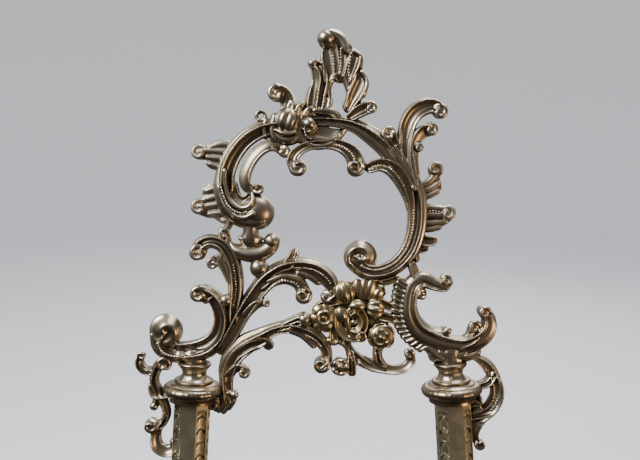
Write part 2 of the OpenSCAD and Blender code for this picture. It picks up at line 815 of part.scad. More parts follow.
// The upper rail carries the hinge bracket's screws in blind holes
module leg_rail() {
    color(brass) difference() {
        rail(leg_rail_z) translate([0, leg_rail_z]) {
            band([[-rail_end_x, 0, 9], [-44, -4, 8], [-22, -1, 17], [0, 0, 27], [22, -1, 17],
                [44, -4, 8], [rail_end_x, 0, 9]]);
            mirrored() band([[14, 8, 7], [24, 12, 6], [34, 10, 5], [35, 4, 5], [30, 2, 5]]);
            mirrored() band([[48, -3, 6], [42, 5, 5], [46, 11, 5], [52, 10, 5]]);
        }
        leaned() screw_places() translate([0, -screw_grip - run_fit, 0]) rotate([-90, 0, 0])
            cylinder(d = screw_d + 2 * run_fit, h = screw_grip + 1, $fn = 24);
    }
}

module apron() {
    color(brass) rail(apron_z) translate([0, apron_z]) {
        band([[-rail_end_x, 0, 9], [-60, 4, 8], [-36, 4, 8], [-16, 10, 7], [0, 15, 8],
            [16, 10, 7], [36, 4, 8], [60, 4, 8], [rail_end_x, 0, 9]]);
        mirrored() band([[56, 2, 7], [54, -10, 7], [42, -16, 7], [31, -10, 6], [34, -3, 5],
            [40, -4, 5]]);
        mirrored() band([[33, -12, 6], [22, -17, 7], [10, -16, 8], [0, -20, 9]]);
        mirrored() band([[-2, 12, 7], [9, 0, 7], [5, -14, 7]]);
        mirrored() band([[rest_span / 2, -6, 9], [rest_span / 2, 6, 9]]);
    }
}

shell_r = 15;

// A scallop on the front of the apron
module apron_shell() {
    ribs = 9;
    color(gilt) leaned() translate([0, 0, apron_z - 14])
        plate(-rail_thickness / 2 - shell_depth, -rail_thickness / 2) offset(delta = 0) {
            circle(6, $fn = 28);
            for (i = [0:ribs - 1]) {
                a = 10 + 160 * i / (ribs - 1);
                reach = shell_r + 10 * sin(a);
                polygon([[0, 0], reach * [cos(a - 9), sin(a - 9)], reach * [cos(a + 9), sin(a + 9)]]);
                translate(reach * [cos(a), sin(a)]) circle(reach * sin(9), $fn = 20);
            }
        }
}

module lock_pins() {
    color(steel) leaned() for (side = [-1, 1], rail_z = [leg_rail_z, apron_z])
        lock_pin(side, rail_z, 0);
}

// ---------- album rests ----------

lug_r = 5;
lug_h = 4;
rest_eye_h = 7;
pin_head = 1.6;

// Two eyes on the front of the apron that hold a rest's pin
module rest_lug(side) {
    color(brass) leaned() translate([side * rest_span / 2, 0, apron_z])
        for (end = [-1, 1])
            translate([0, 0, end * (rest_eye_h / 2 + swing_gap + lug_h / 2) - lug_h / 2])
                difference() {
                    union() {
                        translate([0, rest_pivot_y, 0]) cylinder(r = lug_r, h = lug_h, $fn = 48);
                        translate([-lug_r, rest_pivot_y, 0])
                            cube([2 * lug_r, -rail_thickness / 2 - rest_pivot_y, lug_h]);
                    }
                    translate([0, rest_pivot_y, -1])
                        cylinder(d = rest_pin_d + 2 * run_fit, h = lug_h + 2, $fn = 32);
                }
}

module rest_lug_left() {
    rest_lug(-1);
}

module rest_lug_right() {
    rest_lug(1);
}

// An arm that reaches forward from its eye and turns up in a scroll
module rest(side) {
    color(brass) leaned() translate([side * rest_span / 2, rest_pivot_y, apron_z])
        difference() {
            union() {
                translate([0, 0, -rest_eye_h / 2]) cylinder(r = lug_r - 0.4, h = rest_eye_h, $fn = 48);
                rotate([90, 0, -90]) translate([0, 0, -rest_width / 2]) linear_extrude(rest_width)
                    offset(delta = 0) {
                        band([[0, 0, rest_eye_h - 0.6], [12, -1, 6], [24, -2, 6],
                            [rest_reach - 6, 0, 6], [rest_reach, rest_bend_up, rest_bend_w],
                            [rest_reach - 1, rest_tip_height - rest_tip_r - 1, 5]]);
                        knob(rest_reach, rest_tip_height - rest_tip_r, rest_tip_r);
                    }
            }
            translate([0, 0, -rest_eye_h])
                cylinder(d = rest_pin_d + 2 * run_fit, h = 2 * rest_eye_h, $fn = 32);
        }
}

module rest_left() {
    rest(-1);
}

module rest_right() {
    rest(1);
}

module rest_pin(side) {
    reach = rest_eye_h / 2 + swing_gap + lug_h;
    color(steel) leaned() translate([side * rest_span / 2, rest_pivot_y, apron_z]) {
        translate([0, 0, -reach]) cylinder(d = rest_pin_d, h = 2 * reach, $fn = 32);
        for (end = [-1, 1]) translate([0, 0, end * (reach + pin_head / 2) - pin_head / 2])
            cylinder(d = rest_pin_d + 2, h = pin_head, $fn = 32);
    }
}

module rest_pin_left() {
    rest_pin(-1);
}

module rest_pin_right() {
    rest_pin(1);
}

// ---------- leg and hinge ----------

ear_t = 4;
ear_r = 6;
ear_x = leg_head_w / 2 + swing_gap;      // inner face of each ear
bracket_half_w = ear_x + ear_t + 5;
bracket_half_h = 11;
bracket_t = 3;
screw_d = 3;
screw_x = bracket_half_w - 2.6;
screw_z = 7.6;
screw_head_d = 4.6;
screw_head_h = 1.4;
screw_grip = 4;          // length of screw in the rail

module screw_places() {
    for (x = [-screw_x, screw_x], z = [-screw_z, screw_z])
        translate([x, rail_thickness / 2, leg_rail_z + z]) children();
}

module hinge_bracket() {
    color(brass) leaned() difference() {
        translate([0, rail_thickness / 2, leg_rail_z]) difference() {
            union() {
                translate([-bracket_half_w, 0, -bracket_half_h])
                    cube([2 * bracket_half_w, bracket_t, 2 * bracket_half_h]);
                for (side = [-1, 1]) translate([side * (ear_x + ear_t / 2) - ear_t / 2, 0, 0]) {
                    translate([0, hinge_offset, 0]) rotate([0, 90, 0])
                        cylinder(r = ear_r, h = ear_t, $fn = 48);
                    translate([0, 0, -ear_r]) cube([ear_t, hinge_offset, 2 * ear_r]);
                }
            }
            translate([-big / 2, hinge_offset, 0]) rotate([0, 90, 0])
                cylinder(d = hinge_pin_d + 2 * run_fit, h = big, $fn = 32);
        }
        screw_places() translate([0, -1, 0]) rotate([-90, 0, 0])
            cylinder(d = screw_d + 2 * run_fit, h = bracket_t + 2, $fn = 24);
    }
}

module bracket_screws() {
    color(steel) leaned() screw_places() rotate([-90, 0, 0]) {
        translate([0, 0, -screw_grip]) cylinder(d = screw_d, h = screw_grip + bracket_t, $fn = 24);
        translate([0, 0, bracket_t]) cylinder(d = screw_head_d, h = screw_head_h, $fn = 32);
    }
}

module hinge_pin() {
    reach = ear_x + ear_t;
    color(steel) leaned() translate([0, hinge_y, leg_rail_z]) rotate([0, 90, 0]) {
        translate([0, 0, -reach]) cylinder(d = hinge_pin_d, h = 2 * reach, $fn = 32);
        for (end = [-1, 1]) translate([0, 0, end * (reach + pin_head / 2) - pin_head / 2])
            cylinder(d = hinge_pin_d + 2.4, h = pin_head, $fn = 32);
    }
}

// Places a piece on the open leg, with the hinge at the origin and the leg down Z
module on_leg() {
    leaned() translate([0, hinge_y, leg_rail_z]) rotate([leg_open, 0, 0]) children();
}

// The heel above the pin meets the bracket and stops the leg when it is open
leg_heel = (hinge_offset - bracket_t - 0.3 - leg_thickness / 2 * cos(leg_open)) / sin(leg_open);
leg_foot_h = 16;

module leg() {
    eye_r = 5.4;
    low = -leg_length + leg_foot_h;
    color(brass) on_leg() difference() {
        union() {
            plate(-leg_thickness / 2, leg_thickness / 2) offset(delta = 0) difference() {
                union() {
                    translate([-leg_head_w / 2, -8]) square([leg_head_w, leg_heel + 8]);
                    band([[0, -4, leg_head_w - 1], [0, -30, 10], [0, -80, 11],
                        [0, -leg_length / 2, 18], [0, -leg_length / 2 - 30, 11], [0, low + 5, 10]]);
                    translate([-5, low]) square([10, 8]);
                }
                band([[0, -leg_length / 2 + 12, 2], [0, -leg_length / 2, 8],
                    [0, -leg_length / 2 - 12, 2]]);
            }
            translate([-leg_head_w / 2, 0, 0]) rotate([0, 90, 0])
                cylinder(r = eye_r, h = leg_head_w, $fn = 48);
        }
        translate([-big / 2, 0, 0]) rotate([0, 90, 0])
            cylinder(d = hinge_pin_d + 2 * run_fit, h = big, $fn = 32);
    }
}

// A scroll toe on the end of the leg, cut flat on the ground
module leg_foot() {
    half_w = 6;
    color(brass) difference() {
        on_leg() translate([-half_w, 0, -leg_length]) rotate([90, 0, 90]) linear_extrude(2 * half_w)
            offset(delta = 0) intersection() {
                union() {
                    band([[0, leg_foot_h + 4, 7], [0, 10, 8], [2, 3, 10], [0, -6, 12]]);
                    band([[0, 6, 7], [toe_back - 2, toe_up - 3, 6], [toe_back, toe_up, 2 * toe_r]]);
                }
                translate([-20, -20]) square([40, 20 + leg_foot_h]);
            }
        below_ground();
    }
}

// ---------- the stand ----------

knot();
plume();
ring_left();
ring_left_inner();
ring_right();
ring_right_inner();
horn();
leaves_left();
leaves_right();
cup();
stem_left();
acanthus_arm();
base_scroll_left();
arch_left();
base_scroll_right();
loop_right();
bouquet_leaves();
rose_left();
rose_right();
blossom();
buds();
collar_left();
collar_right();
post_left();
post_right();
bracket_left();
bracket_right();
base_collar_left();
base_collar_right();
foot_left();
foot_right();
tie_rod_left();
tie_rod_right();
foot_nuts();
leg_rail();
apron();
apron_shell();
lock_pins();
rest_lug_left();
rest_lug_right();
hinge_bracket();
bracket_screws();
hinge_pin();
leg();
leg_foot();
rest_left();
rest_right();
rest_pin_left();
rest_pin_right();
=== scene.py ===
import json
import math

import bmesh
import bpy
from mathutils import Matrix, Vector


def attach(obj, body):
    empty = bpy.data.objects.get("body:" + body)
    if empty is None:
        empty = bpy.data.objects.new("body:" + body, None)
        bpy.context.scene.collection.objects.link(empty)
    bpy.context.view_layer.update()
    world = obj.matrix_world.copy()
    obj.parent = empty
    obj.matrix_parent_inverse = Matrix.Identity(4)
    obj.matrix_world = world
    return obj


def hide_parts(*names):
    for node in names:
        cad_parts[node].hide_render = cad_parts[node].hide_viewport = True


bl_info = {
    "name": "Photo album stand",
    "version": (1, 0, 0),
    "blender": (4, 5, 0),
    "location": "View3D > Sidebar > Album stand",
    "description": "Dresses the packed album stand in aged cast brass and sets its studio",
    "category": "Object",
}

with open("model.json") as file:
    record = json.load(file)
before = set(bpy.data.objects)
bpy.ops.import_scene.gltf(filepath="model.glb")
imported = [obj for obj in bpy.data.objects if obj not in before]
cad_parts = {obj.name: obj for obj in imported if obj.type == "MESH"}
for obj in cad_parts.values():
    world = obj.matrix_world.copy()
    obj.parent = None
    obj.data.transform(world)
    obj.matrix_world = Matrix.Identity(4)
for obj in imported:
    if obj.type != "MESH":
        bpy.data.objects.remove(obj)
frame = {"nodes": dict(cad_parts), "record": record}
BEHAVIOUR = frame["record"]["behaviour"]
JOINTS = {joint["name"]: joint for joint in BEHAVIOUR["joints"]}

MM = 0.001
BODY = "stand"
SHARP_ANGLE = math.radians(40)
CREST_GRAIN = 0.29       # finest skin of a crest casting, so that its beads of about 1 mm still show
CREST_MIDDLE = 85        # height of the crest's middle above the post tops

# ---------- where things are, in millimetres until PLANE or a like matrix turns them to metres ----------

POST_SPAN = 129.5
POST_WIDTH = 17.0
POST_LENGTH = 245.0
FOOT_STACK = 45.0
BASE_COLLAR_H = 14.0
SPLAY = math.radians(3.5)
HINGE_BEHIND = 13.7      # hinge pin behind the plane of the posts
HINGE_UP = 215.0         # hinge pin above the ground, along the frame
APRON_UP = 104.0
RAIL_T = 6.4
LEG_OPEN = math.radians(28)
POST_TOP = (FOOT_STACK + POST_LENGTH) * math.cos(SPLAY)

UP = Vector(JOINTS["rest_left_swing"]["axis"]).normalized()
BACK = Vector((0, UP.z, -UP.y))
HINGE = Vector(JOINTS["leg_fold"]["pos_m"])
GROUND_POINT = HINGE - (BACK * HINGE_BEHIND + UP * HINGE_UP) * MM


def matrix_of(origin, across, back, up):
    """Maps millimetres (across, back, up) to metres in the stand's frame."""
    turn = Matrix((across, back, up)).transposed().to_4x4()
    return Matrix.Translation(origin) @ turn @ Matrix.Scale(MM, 4)


PLANE = matrix_of(GROUND_POINT, Vector((1, 0, 0)), BACK, UP)
CREST = PLANE @ Matrix.Translation((0, 0, POST_TOP))


def on_post(side):
    """Places a piece on a post's axis, with height 0 at the post's top. side is -1 or 1."""
    return (PLANE @ Matrix.Translation((side * POST_SPAN / 2, 0, POST_TOP))
            @ Matrix.Rotation(-side * SPLAY, 4, "Y"))


def on_leg():
    """Places a piece on the open leg, with the hinge at 0 and the leg running down."""
    return PLANE @ Matrix.Translation((0, HINGE_BEHIND, HINGE_UP)) @ Matrix.Rotation(LEG_OPEN, 4, "X")


# ---------- sculpting ----------

# Sections across a scroll. u runs from -1, the inner edge, to 1, the outer edge,
# and h is the height of the face there: 1 is the front and -1 is the back.
BACK_EDGE = [(0.97, -0.5), (0.82, -1), (-0.82, -1), (-0.97, -0.5)]
SECTIONS = {
    # thin inner rim, hollow, sharp ridge and a flat band for the beading
    "coved": [(-1, 0.1), (-0.93, 0.6), (-0.8, 0.66), (-0.68, 0.42), (-0.4, 0.2), (-0.1, 0.3),
              (0.1, 0.55), (0.26, 0.97), (0.33, 1), (0.42, 0.8), (0.6, 0.5), (0.84, 0.36), (1, 0.05)],
    "beaded": [(-1, 0.1), (-0.92, 0.6), (-0.8, 0.62), (-0.66, 0.3), (-0.4, 0.12), (-0.2, 0.3),
               (-0.06, 0.9), (0.03, 1), (0.12, 0.74), (0.24, 0.5), (0.46, 0.5), (0.58, 0.7),
               (0.74, 0.68), (0.9, 0.44), (1, 0.05)],
    "ringed": [(-1, 0.1), (-0.92, 0.6), (-0.8, 0.62), (-0.68, 0.44), (-0.46, 0.4), (-0.24, 0.46),
               (-0.04, 0.34), (0.12, 0.6), (0.25, 0.97), (0.33, 1), (0.43, 0.72), (0.6, 0.5),
               (0.84, 0.4), (1, 0.05)],
    "edged": [(-1, 0.1), (-0.9, 0.5), (-0.76, 0.56), (-0.6, 0.32), (-0.4, 0.24), (-0.2, 0.38),
              (0, 0.42), (0.2, 0.4), (0.36, 0.66), (0.48, 1), (0.57, 0.98), (0.68, 0.66),
              (0.84, 0.44), (1, 0.05)],
    "smooth": [(-1, 0.1), (-0.88, 0.7), (-0.74, 1), (-0.62, 0.98), (-0.48, 0.7), (-0.3, 0.62),
               (0, 0.7), (0.3, 0.68), (0.6, 0.56), (0.85, 0.36), (1, 0.05)],
    "stem": [(-1, 0.05), (-0.88, 0.5), (-0.66, 0.84), (-0.52, 0.8), (-0.34, 0.42), (-0.12, 0.42),
             (0.1, 0.5), (0.3, 0.96), (0.42, 1), (0.58, 0.66), (0.8, 0.5), (1, 0.05)],
    "leaf": [(-1, 0.1), (-0.84, 0.6), (-0.62, 0.42), (-0.42, 0.72), (-0.22, 0.46), (0, 1),
             (0.22, 0.46), (0.42, 0.72), (0.62, 0.42), (0.84, 0.6), (1, 0.1)],
    "round": [(-1, 0), (-0.92, 0.4), (-0.7, 0.72), (-0.38, 0.93), (0, 1), (0.38, 0.93),
              (0.7, 0.72), (0.92, 0.4), (1, 0)],
    "ridged": [(-1, 0), (-0.8, 0.42), (-0.4, 0.6), (-0.12, 0.94), (0, 1), (0.12, 0.94),
               (0.4, 0.6), (0.8, 0.42), (1, 0)],
    # a leaf lobe hollowed like a spoon, with a raised rim
    "spoon": [(-1, 0.15), (-0.93, 0.7), (-0.8, 0.95), (-0.62, 0.82), (-0.35, 0.52), (0, 0.42), (0.35, 0.5),
              (0.62, 0.78), (0.8, 0.95), (0.93, 0.7), (1, 0.15)],
    # a face that slopes up from the inner edge to a rounded rim
    "sloped": [(-1, 0.1), (-0.9, 0.3), (-0.5, 0.36), (-0.1, 0.46), (0.3, 0.66), (0.6, 0.93), (0.76, 1),
               (0.9, 0.8), (1, 0.15)],
    "veined": [(-1, 0.1), *[(u / 14,
                             (0.62 + 0.2 * math.cos(math.pi * 3.5 * u / 14)) * (1 - 0.3 * abs(u / 14) ** 3))
                            for u in range(-13, 14)], (1, 0.1)],
}
for face in SECTIONS.values():
    face.extend(BACK_EDGE)


def curve_point(a, b, c, d, t):
    """A point of the smooth curve between b and c, whose neighbours are a and d."""
    return (b * 2 + (c - a) * t + (a * 2 - b * 5 + c * 4 - d) * t * t
            + (b * 3 - a - c * 3 + d) * t ** 3) * 0.5


def smooth_path(points, steps):
    """The [across, up, width] or [across, up, width, lift] points as a smooth curve of 4-vectors."""
    knots = [Vector((*point, 0))[:4] if len(point) == 3 else tuple(point) for point in points]
    knots = [Vector(knot) for knot in knots]
    last = len(knots) - 1
    path = [curve_point(knots[max(i - 1, 0)], knots[i], knots[i + 1], knots[min(i + 2, last)], step / steps)
            for i in range(last) for step in range(steps)]
    return path + [knots[last]]


def heading(path, i):
    """The direction of the path at its point i."""
    run = path[min(i + 1, len(path) - 1)] - path[max(i - 1, 0)]
    return run.to_2d().normalized()


class Casting:
    """A mesh under the sculptor's hands. Its points are (across, out, up), out being towards the viewer."""

    def __init__(self, rise=4.6, fall=2.5):
        self.mesh = bmesh.new()
        self.rise = rise
        self.fall = fall

    def loft(self, rings, closed=False):
        """Joins rings of points into a skin and closes its two ends."""
        made = [[self.mesh.verts.new(point) for point in ring] for ring in rings]
        count = len(made[0])
        pairs = list(zip(made, made[1:]))
        if closed:
            pairs.append((made[-1], made[0]))
        for low, high in pairs:
            for i in range(count):
                j = (i + 1) % count
                self.mesh.faces.new((low[i], low[j], high[j], high[i]))
        if not closed:
            self.mesh.faces.new(made[0])
            self.mesh.faces.new(made[-1][::-1])

    def scroll(self, points, section="coved", outer=1, rise=None, fall=None, lift=0.0, steps=6, scallops=0):
        """A moulded band along the points, its outer edge on the left (outer=1) or on the right.
        scallops is the number of lobes along its edges."""
        rise = self.rise if rise is None else rise
        fall = self.fall if fall is None else fall
        path = smooth_path(points, max(steps, 2 * scallops))
        face = SECTIONS[section]
        last = len(path) - 1
        rings = []
        for i, spot in enumerate(path):
            spot.z *= 1 + (0.14 * abs(math.sin(math.pi * scallops * i / last)) - 0.05 if scallops else 0)

        def ring(spot, way, width, tall, raised):
            side = Vector((-way.y, way.x)) * outer
            high = min(rise, 0.42 * width + 1.5) * tall
            deep = fall * (0.6 + 0.4 * tall)
            return [(spot.x + side.x * u * width / 2,
                     lift + raised + h * (high if h > 0 else deep),
                     spot.y + side.y * u * width / 2) for u, h in face]

        caps = [math.radians(angle) for angle in (82, 62, 40, 20)]
        for i in (0, last):
            way = heading(path, i) * (-1 if i == 0 else 1)
            spot, width, raised = path[i].to_2d(), path[i].z, path[i].w
            ends = [(spot + way * width / 2 * math.sin(angle), math.cos(angle)) for angle in caps]
            tips = [ring(at, way * (-1 if i == 0 else 1), width * share, 0.35 + 0.65 * share, raised)
                    for at, share in ends]
            if i == 0:
                rings += tips
                rings += [ring(path[k].to_2d(), heading(path, k), path[k].z, 1, path[k].w)
                          for k in range(last + 1)]
            else:
                rings += tips[::-1]
        self.loft(rings)

    def beads(self, points, u, h, size=0.75, pitch=1.9, start=0.0, end=1.0, outer=1, lift=0.0):
        """A row of beads along a scroll, at u across its section and h of its height."""
        path = smooth_path(points, 8)
        line = []
        for i, spot in enumerate(path):
            way = heading(path, i)
            side = Vector((-way.y, way.x)) * outer * u * spot.z / 2
            high = min(self.rise, 0.42 * spot.z + 1.5) * h
            line.append(Vector((spot.x + side.x, lift + spot.w + high, spot.y + side.y)))
        runs = [(b - a).length for a, b in zip(line, line[1:])]
        total = sum(runs)
        count = max(int(total * (end - start) / pitch), 1)
        for n in range(count + 1):
            left = total * (start + (end - start) * n / count)
            for a, b, run in zip(line, line[1:], runs):
                if left <= run:
                    self.ball(*(a + (b - a) * left / max(run, 1e-6)).xzy, size)
                    break
                left -= run

    def ball(self, across, up, out, size, flat=1.0, rows=8):
        """A ball, squashed front to back by flat."""
        turns = rows * 2
        rings = []
        for row in range(rows + 1):
            angle = math.pi * (0.02 + 0.96 * row / rows)
            rings.append([(across + size * math.sin(angle) * math.cos(math.tau * k / turns),
                           out - size * flat * math.cos(angle),
                           up + size * math.sin(angle) * math.sin(math.tau * k / turns))
                          for k in range(turns)])
        self.loft(rings)

    def bud(self, across, up, out, wide, tall, turn=0, ribs=7, groove=0.1, flat=0.8):
        """A ribbed bud or melon. Its ribs run along an axis turned by turn degrees from upright."""
        lean = math.radians(turn)
        rows, spokes = 18, 12 * ribs
        rings = []
        for row in range(rows + 1):
            angle = math.pi * (0.02 + 0.96 * row / rows)
            ring = []
            for k in range(spokes):
                side = math.tau * k / spokes
                reach = wide * math.sin(angle) * (1 - groove + 2 * groove * abs(math.cos(ribs * side / 2)))
                sideways, along = reach * math.cos(side), tall * math.cos(angle)
                ring.append((across + sideways * math.cos(lean) - along * math.sin(lean),
                             out + flat * reach * math.sin(side),
                             up + sideways * math.sin(lean) + along * math.cos(lean)))
            rings.append(ring)
        self.loft(rings)

    def roll(self, across, up, size, start=90, hand=-1, out=1.2):
        """A rolled leaf tip. Its lip starts at angle start and winds in by hand, 1 anticlockwise."""
        self.ball(across, up, out - 0.2 * size, size * 0.84, 1)
        lip = []
        for turn, reach, thick, high in ((-50, 0.7, 0.5, -0.1), (0, 0.72, 0.6, 0.2), (60, 0.7, 0.64, 0.34),
                                         (120, 0.68, 0.62, 0.4),
                                         (180, 0.62, 0.56, 0.46), (240, 0.5, 0.46, 0.5),
                                         (300, 0.34, 0.36, 0.5)):
            angle = math.radians(start + hand * turn)
            lip.append((across + size * reach * math.cos(angle), up + size * reach * math.sin(angle),
                        size * thick, out + size * high))
        self.scroll(lip, "round", rise=size * 0.32, fall=size * 0.5, steps=4)

    def volute(self, across, up, size, rise=5.0, turns=1.6, hand=1, start=0.0, groove=0.28):
        """A domed boss with a spiral rolled into its face."""
        spokes, rows = 48, 16
        rings = [[(across + size * 0.8 * math.cos(math.tau * k / spokes), -self.fall,
                   up + size * 0.8 * math.sin(math.tau * k / spokes)) for k in range(spokes)]]
        for row in range(rows + 1):
            reach = math.cos(math.pi / 2 * row / rows * 0.985)
            ring = []
            for k in range(spokes):
                angle = math.tau * k / spokes
                wave = math.cos(math.tau * turns * reach - hand * (angle - start))
                high = rise * (math.sqrt(max(1 - reach * reach,
                                             0)) * (1 - groove + groove * wave * reach ** 0.4))
                ring.append((across + size * reach * math.cos(angle), high,
                             up + size * reach * math.sin(angle)))
            rings.append(ring)
        self.loft(rings)

    def turned(self, profile, spokes=96, wave=None):
        """A lathe-turned form from (radius, height) points. wave(height, angle) adds to the radius."""
        wave = wave or (lambda height, angle: 0)
        rings = [[((radius + wave(height, math.tau * k / spokes)) * math.cos(math.tau * k / spokes),
                   (radius + wave(height, math.tau * k / spokes)) * math.sin(math.tau * k / spokes),
                   height) for k in range(spokes)] for radius, height in profile]
        self.loft(rings)

    def slab(self, outline, front, back):
        """An upright plate from an outline of (across, up) points."""
        self.loft([[(x, front, z) for x, z in outline], [(x, back, z) for x, z in outline]])

    def done(self, name, node, place, slot, material, body=BODY, grain=0.38):
        """Fuses the strokes into one skin and stands it in for its CAD node."""
        bmesh.ops.recalc_face_normals(self.mesh, faces=self.mesh.faces)
        for vert in self.mesh.verts:
            across, out, up = vert.co
            vert.co = place @ Vector((across, -out, up))
        shape = bpy.data.meshes.new(name)
        self.mesh.to_mesh(shape)
        self.mesh.free()
        piece = bpy.data.objects.new(name, shape)
        bpy.context.scene.collection.objects.link(piece)
        if grain:
            fuse = piece.modifiers.new("fuse", "REMESH")
            fuse.mode = "VOXEL"
            fuse.voxel_size = grain * MM
            wear = piece.modifiers.new("wear", "SMOOTH")
            wear.factor = 0.5
            wear.iterations = 2
            bpy.context.view_layer.update()
            ready = piece.evaluated_get(bpy.context.evaluated_depsgraph_get())
            piece.data = bpy.data.meshes.new_from_object(ready)
            piece.modifiers.clear()
            piece.data.shade_smooth()
        else:
            piece.data.shade_smooth()
            piece.data.set_sharp_from_angle(angle=SHARP_ANGLE)
        piece.data.materials.clear()
        piece.data.materials.append(material)
        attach(piece, body)
        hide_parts(*([node] if isinstance(node, str) else node))
        return piece


# ---------- finishes ----------

def linear(colour):
    """An sRGB hex colour as the linear RGBA that shaders take."""
    values = [int(colour[i:i + 2], 16) / 255 for i in (1, 3, 5)]
    return (*[v / 12.92 if v <= 0.04045 else ((v + 0.055) / 1.055) ** 2.4 for v in values], 1)


def add(tree, kind, settings=(), **links):
    """Adds a node with its settings. Each link names an input and gives an output or a value."""
    node = tree.nodes.new(kind)
    for key, value in dict(settings).items():
        setattr(node, key, value)
    for key, value in links.items():
        numbered = key[0] == "i" and key[1:].isdigit()
        socket = node.inputs[int(key[1:]) if numbered else key.replace("_", " ")]
        if isinstance(value, bpy.types.NodeSocket):
            tree.links.new(value, socket)
        else:
            socket.default_value = value
    return node


def ramp(tree, source, stops):
    """A colour ramp with (place, grey) stops."""
    node = add(tree, "ShaderNodeValToRGB", Fac=source)
    while len(node.color_ramp.elements) < len(stops):
        node.color_ramp.elements.new(0.5)
    for element, (place, grey) in zip(node.color_ramp.elements, stops):
        element.position = place
        element.color = (grey, grey, grey, 1)
    return node.outputs["Color"]


def brass(name, rubbed, body, tarnish, hollow, shine=(0.27, 0.52), grit=0.5):
    """Brass that was sand cast, gilt or lacquered, then rubbed bright on its high places, with brown
    tarnish and old polish in the hollows and painted shade darkening the same hollows. It gives warm
    gleams on ridges over a dull, mottled olive body."""
    material = bpy.data.materials.new(name)
    material.use_nodes = True
    tree = material.node_tree
    tree.nodes.clear()
    place = add(tree, "ShaderNodeTexCoord").outputs["Object"]
    shape = add(tree, "ShaderNodeNewGeometry").outputs["Pointiness"]
    rubbing = ramp(tree, shape, [(0.47, 0.0), (0.56, 1.0)])
    # ambient occlusion finds the recesses: below they get the hollow colour, partly tarnish and partly
    # painted shade, and a rougher surface
    shelter = add(tree, "ShaderNodeAmbientOcclusion", {"samples": 8}, Distance=5 * MM).outputs["AO"]
    sheltered = ramp(tree, shelter, [(0.25, 1.0), (0.78, 0.0)])
    clouds = add(tree, "ShaderNodeTexNoise", Vector=place, Scale=1 / (9 * MM), Detail=4.0, Roughness=0.6)
    mottle = ramp(tree, clouds.outputs["Fac"], [(0.42, 0.0), (0.66, 1.0)])
    grains = add(tree, "ShaderNodeTexNoise", Vector=place, Scale=1 / (grit * MM), Detail=2.0)

    def mixed(share, first, second):
        node = add(tree, "ShaderNodeMix", {"data_type": "RGBA"})
        for index, value in ((0, share), (6, first), (7, second)):
            if isinstance(value, bpy.types.NodeSocket):
                tree.links.new(value, node.inputs[index])
            else:
                node.inputs[index].default_value = value
        return node.outputs[2]

    half = add(tree, "ShaderNodeMath", {"operation": "MULTIPLY"}, i0=mottle, i1=0.6).outputs[0]
    toned = mixed(half, linear(body), linear(tarnish))
    worn = add(tree, "ShaderNodeMath", {"operation": "MULTIPLY"}, i0=rubbing, i1=0.75).outputs[0]
    bright = mixed(worn, toned, linear(rubbed))
    # painted shade: the hollow colour is laid over the occluded recesses, standing for real tarnish and old
    # polish as well as for shade
    tarnish_and_painted_shade = add(tree, "ShaderNodeMath", {"operation": "MULTIPLY"}, i0=sheltered, i1=0.92).outputs[0]
    colour = mixed(tarnish_and_painted_shade, bright, linear(hollow))
    rough = add(tree, "ShaderNodeMapRange", Value=sheltered, To_Min=shine[0], To_Max=shine[1]).outputs[0]
    dull = add(tree, "ShaderNodeMath", {"operation": "MULTIPLY_ADD"}, i0=mottle, i1=0.1, i2=rough).outputs[0]
    skin = add(tree, "ShaderNodeBump", Height=grains.outputs["Fac"], Strength=0.35, Distance=0.06 * MM)
    shader = add(tree, "ShaderNodeBsdfPrincipled", Base_Color=colour, Roughness=dull, Metallic=1.0,
                 Normal=skin.outputs["Normal"])
    add(tree, "ShaderNodeOutputMaterial", Surface=shader.outputs[0])
    return material


def turned_steel(name, colour):
    """Plain mild steel, turned and left bare, dulled by handling: a soft grey gleam."""
    material = bpy.data.materials.new(name)
    material.use_nodes = True
    tree = material.node_tree
    tree.nodes.clear()
    place = add(tree, "ShaderNodeTexCoord").outputs["Object"]
    marks = add(tree, "ShaderNodeTexNoise", Vector=place, Scale=1 / (1.2 * MM), Detail=3.0)
    rough = add(tree, "ShaderNodeMapRange", Value=marks.outputs["Fac"], To_Min=0.28, To_Max=0.5).outputs[0]
    shader = add(tree, "ShaderNodeBsdfPrincipled", Base_Color=linear(colour), Roughness=rough, Metallic=1.0)
    add(tree, "ShaderNodeOutputMaterial", Surface=shader.outputs[0])
    return material


FINISHES = {}


def finish(slot):
    """The material for one of the record's slots, made once."""
    if slot not in FINISHES:
        tones = bpy.context.scene.album_stand_colours
        hexes = {key: getattr(tones, key) for key in ("rubbed", "body", "tarnish", "hollow", "gilt", "steel")}
        plain = (hexes["rubbed"], hexes["body"], hexes["tarnish"], hexes["hollow"])
        makers = {
            "cast_brass": lambda: brass("aged_cast_brass", *plain),
            "gilt_brass": lambda: brass("worn_gilt_brass", "#e6d7ae", hexes["gilt"], hexes["tarnish"],
                                        hexes["hollow"]),
            "dull_brass": lambda: brass("dull_cast_brass", "#cfc5b0", "#8f8470", "#75694f", hexes["hollow"],
                                        (0.38, 0.6)),
            "post_brass": lambda: brass("chased_brass", "#d6ccae", "#8d8264", "#6f644b", hexes["hollow"],
                                        shine=(0.36, 0.55), grit=0.7),
            "steel": lambda: turned_steel("bare_turned_steel", hexes["steel"]),
        }
        FINISHES[slot] = makers[slot]()
    return FINISHES[slot]


def wear_edges(piece, width, angle):
    """Rounds edges sharper than angle to width millimetres, as handling does."""
    edge = piece.modifiers.new("worn_edges", "BEVEL")
    edge.width, edge.segments = width * MM, 2
    edge.limit_method, edge.angle_limit = "ANGLE", angle


def crest(casting, name, slot="cast_brass", node=None, grain=CREST_GRAIN):
    """Finishes a crest casting."""
    return casting.done(name + "_cast", node or name, CREST, slot, finish(slot), grain=grain)


# ---------- the crest ----------

